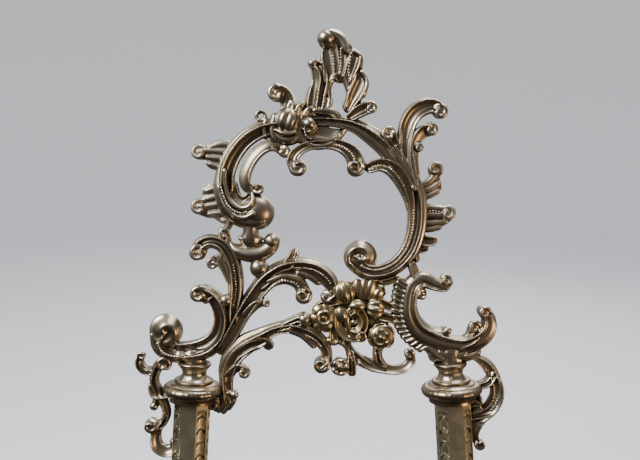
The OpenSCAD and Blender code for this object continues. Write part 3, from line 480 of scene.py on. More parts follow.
RING_LEFT = [(-24, 135.6, 8), (-30.5, 134, 8.6), (-38, 129.4, 9), (-44, 122, 9.4), (-47.4, 114, 9.6),
             (-48.2, 106, 10), (-46.4, 98, 11), (-41.6, 92.4, 13), (-36, 92.2, 14.4)]
RING_LEFT_INNER = [(-18.8, 123.2, 5.6), (-22, 126, 6), (-26.4, 126.4, 6), (-31.4, 123.6, 6.2),
                   (-35.6, 118.4, 6.2), (-38.1, 112, 6), (-37.6, 107.2, 6), (-34.6, 105, 5.4),
                   (-32, 105, 5.4)]
RING_RIGHT = [(-6, 138.6, 5), (5, 138.4, 5.6), (15, 136.4, 7), (24.5, 131, 9.4), (34, 122.4, 10),
              (41, 112.6, 10.6), (45.6, 103, 10), (46.8, 93, 10), (45.8, 83, 9.4), (42.6, 74.4, 9),
              (36.4, 67.4, 8.4), (28.4, 64, 8), (21, 64.6, 8), (15.6, 68.6, 8)]
RING_RIGHT_INNER = [(-12.4, 115.8, 9), (-14.6, 119.4, 6.4), (-12.6, 123, 5.6), (-7.6, 126, 4.8),
                    (0, 127, 4.6), (8, 126.4, 6.2), (14, 122.8, 8.2), (16.6, 117.6, 9), (16.4, 115.6, 9)]
BASE_LEFT = [(-77.5, 31, 12), (-79, 27.5, 11), (-74.5, 24.6, 10.4), (-67, 24.4, 10.4), (-58.5, 26.2, 11),
             (-52, 31.5, 10), (-49.5, 38.5, 9.4), (-50, 45, 8.6), (-53, 50.8, 7.6), (-57.5, 54.4, 7),
             (-60.8, 54, 7)]
ACANTHUS = [(-50, 26, 7), (-45.6, 33, 8), (-40, 43, 8.4), (-35, 51, 9), (-28.4, 59.4, 10),
            (-20, 65, 10.4), (-11, 66.6, 10.6), (-3, 65, 10.4), (3, 60.4, 8.6), (5, 55, 6.4), (2, 51.6, 5.6)]
ARCH = [(-47.6, 1, 6.4), (-48, 9, 7), (-47.4, 16, 9), (-44.4, 22.4, 10.6), (-38.4, 28, 10.8),
        (-31, 31.8, 9.6), (-24, 35.6, 6.6), (-16, 37, 7), (-8, 34.8, 7.6), (-2, 31, 7), (1.6, 26, 6),
        (2, 20.8, 6), (-0.4, 18.6, 7.8)]
STEM = [(-44.4, 40, 6), (-44, 47, 7), (-43, 55, 8), (-43.4, 64, 8.4), (-45.6, 72, 8.4),
        (-49.6, 77.6, 7.6), (-55.4, 79.6, 7.4), (-60, 77.4, 7.6), (-61.4, 74, 8)]


class ALBUM_STAND_OT_rings(bpy.types.Operator):
    """Sculpts the two open rings of the crest, with the small arches inside them"""
    bl_idname = "album_stand.rings"
    bl_label = "Crest rings"

    def execute(self, context):
        left = Casting(rise=5)
        left.scroll(RING_LEFT[:6], "coved", outer=-1)
        left.ball(-32.4, 93.8, -0.6, 8.8, 0.8, rows=18)
        left.scroll([(-49.2, 119, 4, -2), (-49.6, 112, 7, -0.8), (-49.4, 104, 9, 0), (-46, 96.4, 10, 0),
                     (-40.4, 91.4, 10, 0.6), (-34, 89.4, 8, 1.6), (-29, 89.6, 5, 1.4)],
                    "round", rise=4)
        for lip in ([(-47.6, 114, 2.2, 3.6), (-47.4, 107, 2.4, 3.4), (-45.4, 100.4, 2.6, 3.6),
                     (-40.6, 96.2, 2.8, 4.6), (-36, 96.6, 2.6, 5.6),
                     (-33.8, 99.8, 2.2, 5.2), (-34.4, 103, 1.8, 3.4)],
                    [(-50.6, 106, 1.6, 2.4), (-48.4, 98.4, 2, 3.4), (-43.6, 92.8, 2.4, 4.2),
                     (-38, 91.4, 2.4, 5.2), (-33.6, 93.4, 2, 6)]):
            left.scroll(lip, "round", rise=1.6, fall=3)
        left.scroll([(-44.6, 107, 6, 0), (-42.6, 101.4, 6, 0.4), (-38.6, 99.4, 5, 1), (-36, 101.6, 3.6, 1)],
                    "spoon", rise=2.6)
        left.beads([(-49.6, 107, 2), (-47, 99, 2), (-43, 94.6, 2), (-38, 93.6, 2), (-35, 95.6, 2)], 0, 2.3,
                   size=0.56, pitch=1.35)
        crest(left, "ring_left")
        inner = Casting(rise=4)
        inner.scroll(RING_LEFT_INNER, "sloped", outer=1)
        inner.roll(-18.9, 123.4, 3.3, 80)
        inner.roll(-31.6, 105.4, 3.1, 225, 1)
        crest(inner, "ring_left_inner")
        right = Casting(rise=4.8)
        right.scroll(RING_RIGHT, "ringed", outer=1)
        right.beads(RING_RIGHT, -0.42, 0.5, size=0.56, pitch=1.35, start=0.52, end=0.97, outer=1)
        right.volute(18.7, 71.8, 8.4, 5.6, turns=1.15, hand=1, start=-2.47, groove=0.42)
        for u in (-0.5, 0.1, 0.6):
            line = [(x, z + u * w / 2, 1.6) for x, z, w in RING_RIGHT[:5]]
            right.scroll(line, "ridged", rise=4.6)
        tip = [(23.6, 115.8, 6), (28, 117, 6.6), (33, 115.6, 7.6), (38, 110.6, 8), (42, 102, 6), (43, 96, 4)]
        right.scroll(tip, "spoon", outer=1, lift=0.2)
        right.beads(tip, -0.1, 0.5, size=0.56, pitch=1.35, start=0.04, end=0.8, lift=0.3)
        right.roll(44.8, 106.2, 2.6, 90, -1, out=2.4)
        for points in (
                [(29, 129, 3.4, 1), (35, 122.6, 4, 1.4), (41, 113.6, 3.6, 1.4), (44.4, 106, 3, 1)],
                [(36, 126, 3, 0.6), (40, 119, 3.2, 1), (43.4, 111, 3, 1)]):
            right.scroll(points, "ridged", rise=3)
        crest(right, "ring_right")
        arch = Casting(rise=4.2)
        arch.scroll(RING_RIGHT_INNER, "spoon", outer=1)
        arch.beads(RING_RIGHT_INNER, 0, 0.46, size=0.56, pitch=1.35, start=0.52, end=0.9)
        arch.roll(-12, 116, 4.8, 170, 1)
        arch.roll(16, 115.8, 4.8, 0)
        crest(arch, "ring_right_inner")
        return {"FINISHED"}


class ALBUM_STAND_OT_knot(bpy.types.Operator):
    """Sculpts the wrapped knot at the top of the crest and the plume above it"""
    bl_idname = "album_stand.knot"
    bl_label = "Knot and plume"

    def execute(self, context):
        knot = Casting(rise=6, fall=3.4)
        for across, low, high, width, rise in ((-28.9, 131.2, 138.6, 3.4, 4.4), (-24.6, 130, 140.4, 4.6, 6),
                                              (-12.4, 129.6, 143.6, 4, 5.4)):
            knot.scroll([(across + 0.8, low, width), (across, (low + high) / 2, width),
                         (across + 1.4, high, width)], "round", rise=rise)
        knot.bud(-17.2, 138.4, 2, 5.6, 6.6, turn=-18, ribs=6, groove=0.1, flat=0.9)
        knot.scroll([(-23.6, 132.4, 4), (-19.4, 129.4, 5.4), (-14.6, 129.6, 5.4), (-11.4, 132, 4)], "round",
                    rise=5.6)
        knot.scroll([(-22.6, 133.8, 1.8, 3), (-18.4, 132, 2, 4.4), (-13.4, 132.8, 1.8, 3.4)], "round", rise=2)
        knot.scroll([(-17.6, 143, 7), (-17, 147.6, 7.6), (-19.4, 151.6, 8), (-22, 151.8, 7)], "sloped",
                    outer=-1)
        knot.roll(-22.2, 151.6, 4.9, 40, 1)
        for points in ([(-16.6, 142, 3.6), (-16.4, 145, 4.2), (-15.2, 147.4, 3.8)],
                       [(-12.6, 141.6, 3.6), (-12, 144.6, 4), (-10.2, 146.2, 3.8)],
                       [(-9, 141, 3), (-7.4, 143.6, 3.4), (-5.4, 144.6, 3)]):
            knot.scroll(points, "round", rise=4, lift=0.8)
        hoop = [(-30.2 + 2.3 * math.cos(math.radians(a)), 141 + 2.3 * math.sin(math.radians(a)),
                 1.9) for a in range(200, -140, -20)]
        knot.scroll(hoop, "round", rise=3)
        knot.scroll([(-28.6, 139, 3), (-26, 136.4, 4)], "round", rise=2.6)
        rim = [(-4.4, 141.4, 3), (-9.4, 140.4, 3.6), (-11.2, 135, 3.8), (-9.4, 129, 3.8), (-4, 126.2, 3.6),
               (2.6, 126.8, 3.4),
               (8, 130.4, 2.8), (11.4, 134.2, 2)]
        knot.scroll(rim, "round", rise=5.8)
        knot.beads([(-8.6, 138.4, 2), (-9, 134, 2), (-7.4, 130.4, 2), (-4.4, 128.6, 2)], 0, 2.1, size=0.55,
                   pitch=1.35)
        knot.scroll([(-7, 134, 9), (-1, 132.6, 9), (4, 132, 7), (9, 133.8, 2)], "sloped", outer=-1, rise=2.6)
        knot.ball(-6.6, 136.6, 3.6, 3.5)
        knot.scroll([(-9.4, 134.6, 1.6, 3), (-6.4, 132.8, 1.8, 4), (-3.4, 135.4, 1.6, 4)], "round", rise=1.6)
        crest(knot, "knot")
        plume = Casting(rise=4.4)
        plume.slab([(-0.6, 157), (-2.4, 162), (-1, 166), (0, 171), (1.6, 175), (3, 181), (8, 181.6),
                    (12.4, 177), (16.6, 171.6),
                    (18.6, 167), (18, 161), (15.4, 157.6), (12.4, 157.8), (9.6, 160.2), (6, 159.8),
                    (3, 156.4)], 2.2, -2.2)
        plume.slab([(-7.4, 144.6), (-7, 151), (-5, 158), (-6, 163), (-4, 167), (0, 166), (3, 157), (2.8, 150),
                    (3.6, 143)], 1.4, -2.2)
        plume.slab([(12, 143), (13.8, 152), (12.6, 158), (17.6, 161), (20.6, 156), (19.8, 150), (18, 146)],
                   1.8, -2.2)
        plume.scroll([(8.4, 162, 10), (8, 168, 12), (7.2, 173, 12.4), (5.4, 177.2, 10), (2.4, 178, 8.6)],
                     "veined", rise=3.6)
        plume.scroll([(11.6, 172, 4), (8.6, 178, 6), (3.6, 180, 6.4), (0.6, 178.2, 6.8)], "round", lift=1.6,
                     rise=3.4)
        plume.ball(1.8, 178.2, 1.4, 4.5, 1, rows=14)
        plume.scroll([(4.4, 174.6, 2.4, 2), (1.8, 174, 2.4, 1.4), (-0.6, 175.4, 2, 0.6)], "round", rise=2)
        for line in ([(5, 157, 2), (5.4, 165, 2), (4.4, 172, 2)],
                     [(8.6, 161.4, 2), (8.8, 168, 2), (8.8, 174, 2)],
                     [(12.8, 157, 2), (12.6, 163, 2), (13.4, 168.6, 2)]):
            plume.beads(line, 0, 1.75, size=0.56, pitch=1.35)
        plume.scroll([(-2, 144.6, 6), (-0.8, 152, 6.4), (0.2, 158.6, 7), (-1.4, 163.8, 7), (-4, 165.8, 5.4)],
                     "stem", outer=1)
        plume.scroll([(2.6, 158, 5), (2.6, 164, 6), (1.8, 169.4, 6), (1.4, 172.4, 4)], "sloped", outer=1)
        plume.ball(-4.8, 166.2, 1.6, 2.6)
        plume.scroll([(2.6, 143.6, 3.4), (3.6, 149, 3.2), (3, 154.6, 3.2), (5, 159.4, 3.4), (8.4, 160.6, 3.4),
                      (11.4, 157.4, 3.2),
                      (13, 151.6, 3.4), (11.2, 145.6, 3.2)], "round", rise=4.6)
        plume.scroll([(0.4, 143, 4), (1.2, 148.6, 3.6)], "round", rise=4)
        plume.scroll([(-7.4, 145.4, 3.4), (-6.8, 150, 3.4), (-5.8, 154.2, 2.8)], "ridged")
        plume.scroll([(12.6, 160, 6), (14.6, 165.4, 7.4), (15.6, 168.8, 7)], "spoon", outer=-1)
        plume.scroll([(15, 172, 3), (18.4, 169.4, 3), (18.6, 164.4, 2.6)], "round", lift=1)
        plume.scroll([(12.6, 145, 5), (15.6, 151, 8), (18.2, 156.4, 8.4), (18.6, 158.4, 7)], "spoon",
                     outer=-1)
        plume.scroll([(19, 162, 2.6), (21.4, 157.6, 3), (20, 151, 2.6)], "round", lift=1)
        plume.scroll([(14.2, 140.6, 5), (18.6, 143.4, 6.6), (22.6, 145, 6.4)], "spoon", outer=-1)
        plume.roll(23.4, 144.8, 3.4, 100)
        plume.scroll([(8, 139.8, 4), (4, 143, 5), (-4, 143.4, 4)], "round", rise=3.4)
        crest(plume, "plume")
        return {"FINISHED"}


class ALBUM_STAND_OT_sprays(bpy.types.Operator):
    """Sculpts the horn and the leaf sprays behind the rings"""
    bl_idname = "album_stand.sprays"
    bl_label = "Horn and leaf sprays"

    def execute(self, context):
        horn = Casting(rise=4.6)
        horn.scroll([(44.6, 108, 5), (42, 118, 7), (40.8, 127.6, 7.4), (41.2, 135.4, 8.4), (44.6, 141.8, 8.6),
                     (49.8, 145, 8), (54.6, 145.4, 7), (57, 142.8, 6)], "spoon", outer=1)
        horn.scroll([(38.6, 126, 2.4, 1), (38.4, 136, 2.6, 1), (42.4, 144.4, 2.8, 1), (49.6, 148.4, 2.6, 1),
                     (56, 147.6, 2.4, 1)],
                    "round", rise=3.4)
        horn.scroll([(45.4, 112, 5), (44.4, 121, 5.4), (45.6, 128.4, 6), (48.8, 133, 6.6), (52, 133.8, 6)],
                    "sloped", outer=1, lift=0.4)
        horn.scroll([(40.6, 114, 5), (36, 124, 6), (32.8, 131, 7)], "spoon", outer=1, lift=0.3)
        horn.scroll([(45.2, 106, 3), (43, 117, 3.4), (42.6, 126, 3.2), (43.8, 133, 2.6)], "ridged", rise=2,
                    lift=2.6)
        horn.roll(57, 142.9, 4.2, 100)
        horn.roll(52.8, 134.2, 3.7, 100, out=1.4)
        horn.roll(32.4, 132, 4, 60, 1, out=1.4)
        horn.roll(46.8, 125.4, 2.6, 100, out=1.6)
        crest(horn, "horn")
        low = -4
        left = Casting(rise=3.4, fall=1)
        left.slab([(-43, 115), (-50, 113.6), (-56, 115.4), (-58.6, 118), (-56, 119.6), (-62, 119.8),
                   (-64.6, 123), (-62.6, 126.6),
                   (-57.4, 126.8), (-53.6, 129), (-49.4, 128.4), (-44, 130)], low + 1.6, low - 0.4)
        for points in ([(-45, 127, 4), (-50, 127.6, 4.6), (-55, 126, 3.4)],
                       [(-45, 123.4, 4), (-51, 124, 4.4), (-58, 124.4, 4)],
                       [(-45, 119.6, 4), (-50, 120.4, 4), (-57, 121, 3.4)],
                       [(-46, 116.6, 3.6), (-51, 116.4, 4), (-55.4, 117.6, 3.4)]):
            left.scroll(points, "round", rise=2, lift=low + 0.8)
        left.roll(-61, 123.4, 4, 80, 1, out=low + 1.2)
        left.slab([(-45, 89), (-50, 88), (-54, 90.6), (-57.6, 91), (-62, 92.6), (-65, 96), (-62.6, 100),
                   (-59.6, 101), (-60, 105),
                   (-55.6, 107.8), (-51, 106.6), (-47, 109)], low + 1.6, low - 0.4)
        for points in ([(-47, 105.6, 4), (-52, 105.8, 4.4), (-57, 104.4, 3.6)],
                       [(-47, 101.4, 4), (-53, 101.4, 4.4), (-58.6, 99.8, 4)],
                       [(-47, 97.4, 4), (-52, 97.6, 4), (-59, 96.4, 3.6)],
                       [(-47, 93.4, 4), (-51, 93.4, 4), (-56, 92.8, 3.4)],
                       [(-46.4, 90, 3), (-49, 89.6, 3.2)]):
            left.scroll(points, "round", rise=2, lift=low + 0.8)
        left.roll(-61.2, 96.4, 4.2, 80, 1, out=low + 1.2)
        left.scroll([(-44.6, 94, 5), (-46.4, 88.6, 4.4), (-48, 85, 3.6)], "ridged", lift=low + 0.6)
        left.roll(-48.7, 84, 3, 180, 1, out=low + 1.6)
        crest(left, "leaves_left", slot="dull_brass")
        right = Casting(rise=3.4, fall=1)
        right.slab([(46, 99.6), (52, 100.4), (57, 102.4), (59.4, 105.6), (58.6, 110), (58, 113), (53.6, 114),
                    (52.4, 110), (48.6, 108),
                    (45, 109)], low + 1.4, low - 0.4)
        for points in ([(47, 106.6, 3.6), (52.4, 108.6, 4), (56, 112.4, 4)],
                       [(47, 103.8, 3.4), (53, 105, 3.8), (57.4, 108, 3.4)],
                       [(47, 101, 3.2), (52.4, 101.8, 3.4), (56.8, 104, 3.4)]):
            right.scroll(points, "round", rise=2, lift=low + 0.8)
        right.roll(55.6, 114.8, 4.2, 330, 1, out=low + 1.2)
        right.slab([(47, 83.6), (53, 84), (59, 86), (64, 89.4), (65.6, 93), (63, 97), (58, 97.4), (52, 98),
                    (47, 98)], low + 1.4, low - 0.4)
        for points in ([(48, 96, 3.4), (54, 96, 3.6), (60, 95.4, 3.4)],
                       [(48, 92.4, 3.4), (55, 92.4, 3.6), (61, 92, 3.4)],
                       [(48, 88.6, 3.4), (54, 88.4, 3.6), (61, 89, 3.2)],
                       [(48, 85.4, 3), (53, 85.2, 3.4), (58, 86.2, 3)]):
            right.scroll(points, "round", rise=2, lift=low + 0.8)
        right.beads([(50, 94.2, 2), (55, 94.4, 2), (59, 93.8, 2)], 0, 1, size=0.56, pitch=1.35,
                    lift=low + 1.6)
        right.roll(62, 93.4, 4.2, 100, out=low + 1.2)
        right.scroll([(47, 81.6, 6), (51, 79.4, 6), (55, 79.4, 5)], "spoon", lift=low + 0.2)
        right.scroll([(46.4, 77.6, 5), (49, 75.6, 5), (51, 75.6, 4)], "spoon", lift=low + 0.2)
        right.scroll([(49.4, 96.6, 6), (49.8, 99, 5), (49.4, 101.6, 6)], "round", lift=low - 0.4)
        right.scroll([(46, 74, 4), (46.4, 70.8, 5)], "ridged", lift=low)
        crest(right, "leaves_right", slot="dull_brass")
        return {"FINISHED"}


class ALBUM_STAND_OT_left_arms(bpy.types.Operator):
    """Sculpts the cup, the curled stem, the acanthus arm and the arch on the crest's left"""
    bl_idname = "album_stand.left_arms"
    bl_label = "Left arms"

    def execute(self, context):
        cup = Casting(rise=5)
        cup.scroll([(-35.4, 88, 9), (-35.4, 85.6, 7.8), (-35.4, 83.4, 8.4), (-35.4, 81, 11.4)], "round",
                   rise=4.4)
        cup.scroll([(-40.6, 81, 2.4), (-37.6, 79.8, 3.4), (-33.2, 79.8, 3.4), (-30.2, 81, 2.4)], "round",
                   rise=6)
        cup.scroll([(-45, 78.4, 3), (-42.4, 75, 6.6), (-36.6, 73.2, 8.4), (-30, 73.8, 8.4),
                    (-25.8, 76.6, 7.6), (-24.6, 79.4, 7)],
                   "round", rise=5)
        cup.scroll([(-46, 79, 2.4), (-41.6, 76.8, 2.8), (-36.4, 76, 2.8), (-30.6, 76.8, 2.8),
                    (-27, 79.6, 2.4)], "round", rise=6)
        cup.ball(-24.9, 79.6, 0.8, 4.1, 1.1)
        for k in range(6):
            foot = -43.4 + 2.3 * k
            cup.scroll([(foot, 75, 1.6, 1), (foot + 1.4, 70.6 + 0.16 * (k - 3) ** 2, 1.4, 0)], "ridged",
                       rise=4.6)
        cup.ball(-31.2, 66.2, 0.6, 4.9)
        cup.scroll([(-31.2, 64, 6), (-31.6, 61.6, 3.6), (-32, 59.4, 1.6)], "ridged")
        crest(cup, "cup")
        stem = Casting(rise=4.8)
        stem.scroll(STEM, "stem", outer=1)
        stem.beads(STEM, -0.1, 0.56, size=0.52, pitch=1.3, start=0.12, end=0.5)
        stem.scroll([(-45, 61, 6), (-48.4, 67.2, 5.4), (-51.6, 70.4, 5), (-53.8, 69.4, 5)], "sloped", outer=1)
        stem.roll(-54, 68.6, 3.2, 90, 1)
        stem.roll(-61.1, 73.8, 4.5, 60, 1)
        stem.scroll([(-46, 78, 4), (-47.6, 82, 4)], "ridged")
        stem.roll(-48.4, 83.2, 3, 0, 1)
        crest(stem, "stem_left")
        arm = Casting(rise=4.8)
        arm.scroll(ACANTHUS, "edged", outer=1)
        arm.beads(ACANTHUS, -0.02, 0.46, size=0.56, pitch=1.35, start=0.5, end=0.9)
        inner = [(-26, 58.6, 5), (-19, 61, 6), (-12.6, 59.4, 7), (-9.4, 55, 7)]
        arm.scroll(inner, "sloped", outer=1, lift=0.2)
        arm.beads(inner, -0.3, 0.62, size=0.52, pitch=1.3, start=0.2, end=0.9, lift=0.2)
        arm.roll(-9.5, 53, 4.6, 20)
        arm.scroll([(-12, 64, 4), (-6, 62, 4), (-2.4, 59.2, 3.6)], "round", lift=0.4)
        arm.scroll([(-38, 43, 5), (-33, 48, 5), (-28.6, 49, 4)], "sloped", outer=1)
        arm.roll(-28, 49, 2.3, 90, -1, out=2)
        arm.scroll([(-17, 68, 6), (-14.6, 72, 5), (-13.8, 74, 4.6)], "spoon")
        arm.scroll([(-30, 56, 3, 0.4), (-22, 61.6, 3, 0.4), (-14, 62.6, 2.6, 0.4)], "ridged", rise=3)
        arm.roll(1.6, 52, 3.4, 60)
        crest(arm, "acanthus_arm")
        arch = Casting(rise=4.8)
        arch.scroll(ARCH, "ringed", outer=1)
        arch.beads(ARCH, -0.4, 0.5, size=0.52, pitch=1.3, start=0.58, end=0.88)
        leaf = [(-48, 10, 3.6, 1), (-47, 18, 4, 1.4), (-42.4, 24.8, 4.2, 1.6), (-35.4, 29.4, 4.4, 1.6),
                (-29.4, 30, 5, 1.2), (-26.8, 28, 5.6, 0.6)]
        arch.scroll(leaf, "sloped", outer=1, rise=3)
        arch.scroll([(-46, 14, 3), (-42, 21, 3.4), (-36, 25.4, 3.4), (-32, 26.8, 3)], "ridged", rise=3.6,
                    lift=0.4)
        arch.scroll([(-47, 12, 5), (-43, 16.4, 4.6), (-39.6, 15.6, 4.8)], "sloped", outer=1)
        arch.roll(-39, 14.6, 3.4, 60)
        arch.scroll([(-18, 36, 4), (-10, 33, 4.4), (-4.6, 27.6, 3.4)], "ridged", lift=0.4)
        arch.scroll([(-20, 37, 5), (-14, 39.4, 6.4), (-9, 41, 7.6)], "veined", outer=1, lift=0.6)
        arch.ball(-9, 41, 2.6, 3.1)
        arch.roll(-0.5, 18.6, 4.6, 20)
        arch.scroll([(-47, 4, 3.6), (-44, 3.4, 3.4)], "round")
        arch.ball(-43.6, 3.2, 1.6, 2.1)
        arch.roll(-54.2, -1, 4.1, 60, 1, out=0.8)
        for points in ([(-51, 3.6, 2.6), (-49, -0.6, 3.2), (-51.6, -5, 3)],
                       [(-48.6, 4, 2.6), (-46.2, -0.6, 3.2), (-49.2, -5.6, 3)],
                       [(-46.4, 4, 2.4), (-44.2, 0.6, 2.8), (-46.4, -3.8, 2.6)]):
            arch.scroll(points, "round", rise=4.4)
        arch.scroll([(-52.6, -3.6, 5), (-48, -2.6, 5), (-46, 1, 5)], "round", rise=2.4)
        crest(arch, "arch_left")
        return {"FINISHED"}


class ALBUM_STAND_OT_base_scrolls(bpy.types.Operator):
    """Sculpts the two big scrolls that stand on the collars"""
    bl_idname = "album_stand.base_scrolls"
    bl_label = "Base scrolls"

    def execute(self, context):
        left = Casting(rise=5.4, fall=5)
        left.scroll(BASE_LEFT, "coved", outer=-1)
        left.scroll([(-71, 23.4, 6), (-65, 22, 7), (-58, 24, 6)], "round", rise=4.4)
        left.scroll([(-64.6, 22, 10), (-64.2, 19.8, 12)], "round", rise=4.4)
        left.volute(-77.6, 35.2, 8.4, 6.6, turns=0.9, hand=-1, start=3.6, groove=0.26)
        left.scroll([(-84.2, 33, 3.4), (-83, 26.6, 3.6), (-77.6, 21.6, 3.6), (-70, 20.2, 3.4)], "round",
                    rise=5)
        left.beads([(-81, 29.6, 2), (-79, 26, 2), (-75, 23.6, 2), (-69.4, 23, 2)], 0, 2.1, size=0.56,
                   pitch=1.35)
        left.roll(-60.6, 53.2, 5, 20, 1)
        left.ball(-47.6, 50.4, 2.4, 3.3)
        left.scroll([(-49, 44, 3, 1), (-47.4, 50, 3, 1)], "ridged", rise=3)
        left.scroll([(-58, 49.6, 3), (-55, 51.6, 3)], "ridged")
        crest(left, "base_scroll_left")
        right = Casting(rise=5.4, fall=5)
        right.scroll([(60.8, 61, 4.4), (62.4, 59, 4.6), (60, 57, 5.6), (55, 58.4, 7), (49.4, 60.6, 8.6),
                      (44.4, 57.6, 9), (42.4, 50, 9),
                      (42.8, 42, 9.6), (46.6, 35, 10.6), (53, 31, 11), (61, 28.6, 10), (70, 27.8, 8.6),
                      (77.4, 30.4, 9.4), (82, 35.6, 8.6),
                      (82.6, 41, 7), (80, 44.4, 6)], "smooth", outer=-1)
        inner = [(48, 54.4, 3.4), (44.8, 50, 3.8), (46.6, 42, 4), (52, 36.2, 4.2), (58, 34, 4.4), (61, 35, 4)]
        right.scroll(inner, "round", lift=0.2, rise=4.4)
        right.scroll([(68, 28.4, 5), (73.6, 31.4, 6), (75.2, 35.6, 6)], "sloped", outer=-1, lift=0.4)
        right.roll(75, 37.3, 3.5, 0, 1, out=2)
        for points in ([(52, 27, 5), (57, 22.6, 6), (61, 21.6, 5)],
                       [(58, 24.4, 5), (64, 22, 6), (70, 23.4, 5)],
                       [(66, 23, 5), (72, 22, 5), (77, 24.6, 4)]):
            right.scroll(points, "round", rise=4.6)
        right.scroll([(63.6, 23, 11), (64, 19.9, 13)], "round", rise=4.2)
        right.scroll([(60, 25, 4), (55.4, 21.6, 5)], "round")
        for points in (
                [(56, 31.6, 2, 0.6), (63, 29.4, 2, 0.6), (70, 29.6, 2, 0.6), (75, 33, 1.8, 0.6)],
                [(60, 25.4, 2.4, 0.4), (70, 24.8, 2.6, 0.4), (79, 27.6, 2.6, 0.4), (84.4, 33.4, 2.4, 0.4),
                 (85, 39.4, 2, 0.4)]):
            right.scroll(points, "round", rise=5)
        right.scroll([(46, 63, 5), (44.4, 67.4, 4.6)], "sloped")
        right.roll(49, 53.4, 3, 90, 1, out=2.4)
        right.roll(60.6, 60.6, 3.2, 90)
        right.roll(80.2, 44.2, 3.6, 0, 1, out=1.6)
        right.ball(61.6, 35.6, 2.6, 2.2)
        # gadroon lobes down the outer edge
        right.scroll([(39.4, 58.6, 5), (38, 52, 6), (37.4, 45, 6), (39.6, 37, 6), (44, 31.4, 6),
                      (50, 27.4, 5)], "round", rise=1.4)
        edge = smooth_path([(39, 59.6, 0), (37.4, 53, 0), (36.8, 45, 0), (39, 36.8, 0), (43.6, 30.6, 0),
                            (50, 26.4, 0)], 6)
        for k, spot in enumerate(edge[::2] + edge[-1:]):
            way = heading(edge, min(2 * k, len(edge) - 1))
            side = Vector((-way.y, way.x))
            near, far = spot.to_2d() + side * 2.4 + way * 0.8, spot.to_2d() - side * 1.7 - way * 0.8
            right.scroll([(near.x, near.y, 2, 1), (far.x, far.y, 2.8, 0)], "round", rise=3.6, steps=3)
        edge = smooth_path([(41, 60, 2), (39.6, 53, 2), (39, 45, 2), (41, 37.6, 2), (45, 31.6, 2)], 5)
        right.scroll([(spot.x, spot.y, 1.6) for spot in edge], "round", rise=4.6)
        for k in range(6):
            angle = math.radians(210 - 34 * k)
            right.scroll([(47.2 + 0.8 * math.cos(angle), 56.2 + 0.8 * math.sin(angle), 0.8, 0.4),
                          (47.2 + 4 * math.cos(angle), 56.2 + 4 * math.sin(angle), 1.7, 0.4)], "round",
                          rise=3, lift=1, steps=2)
        crest(right, "base_scroll_right")
        return {"FINISHED"}


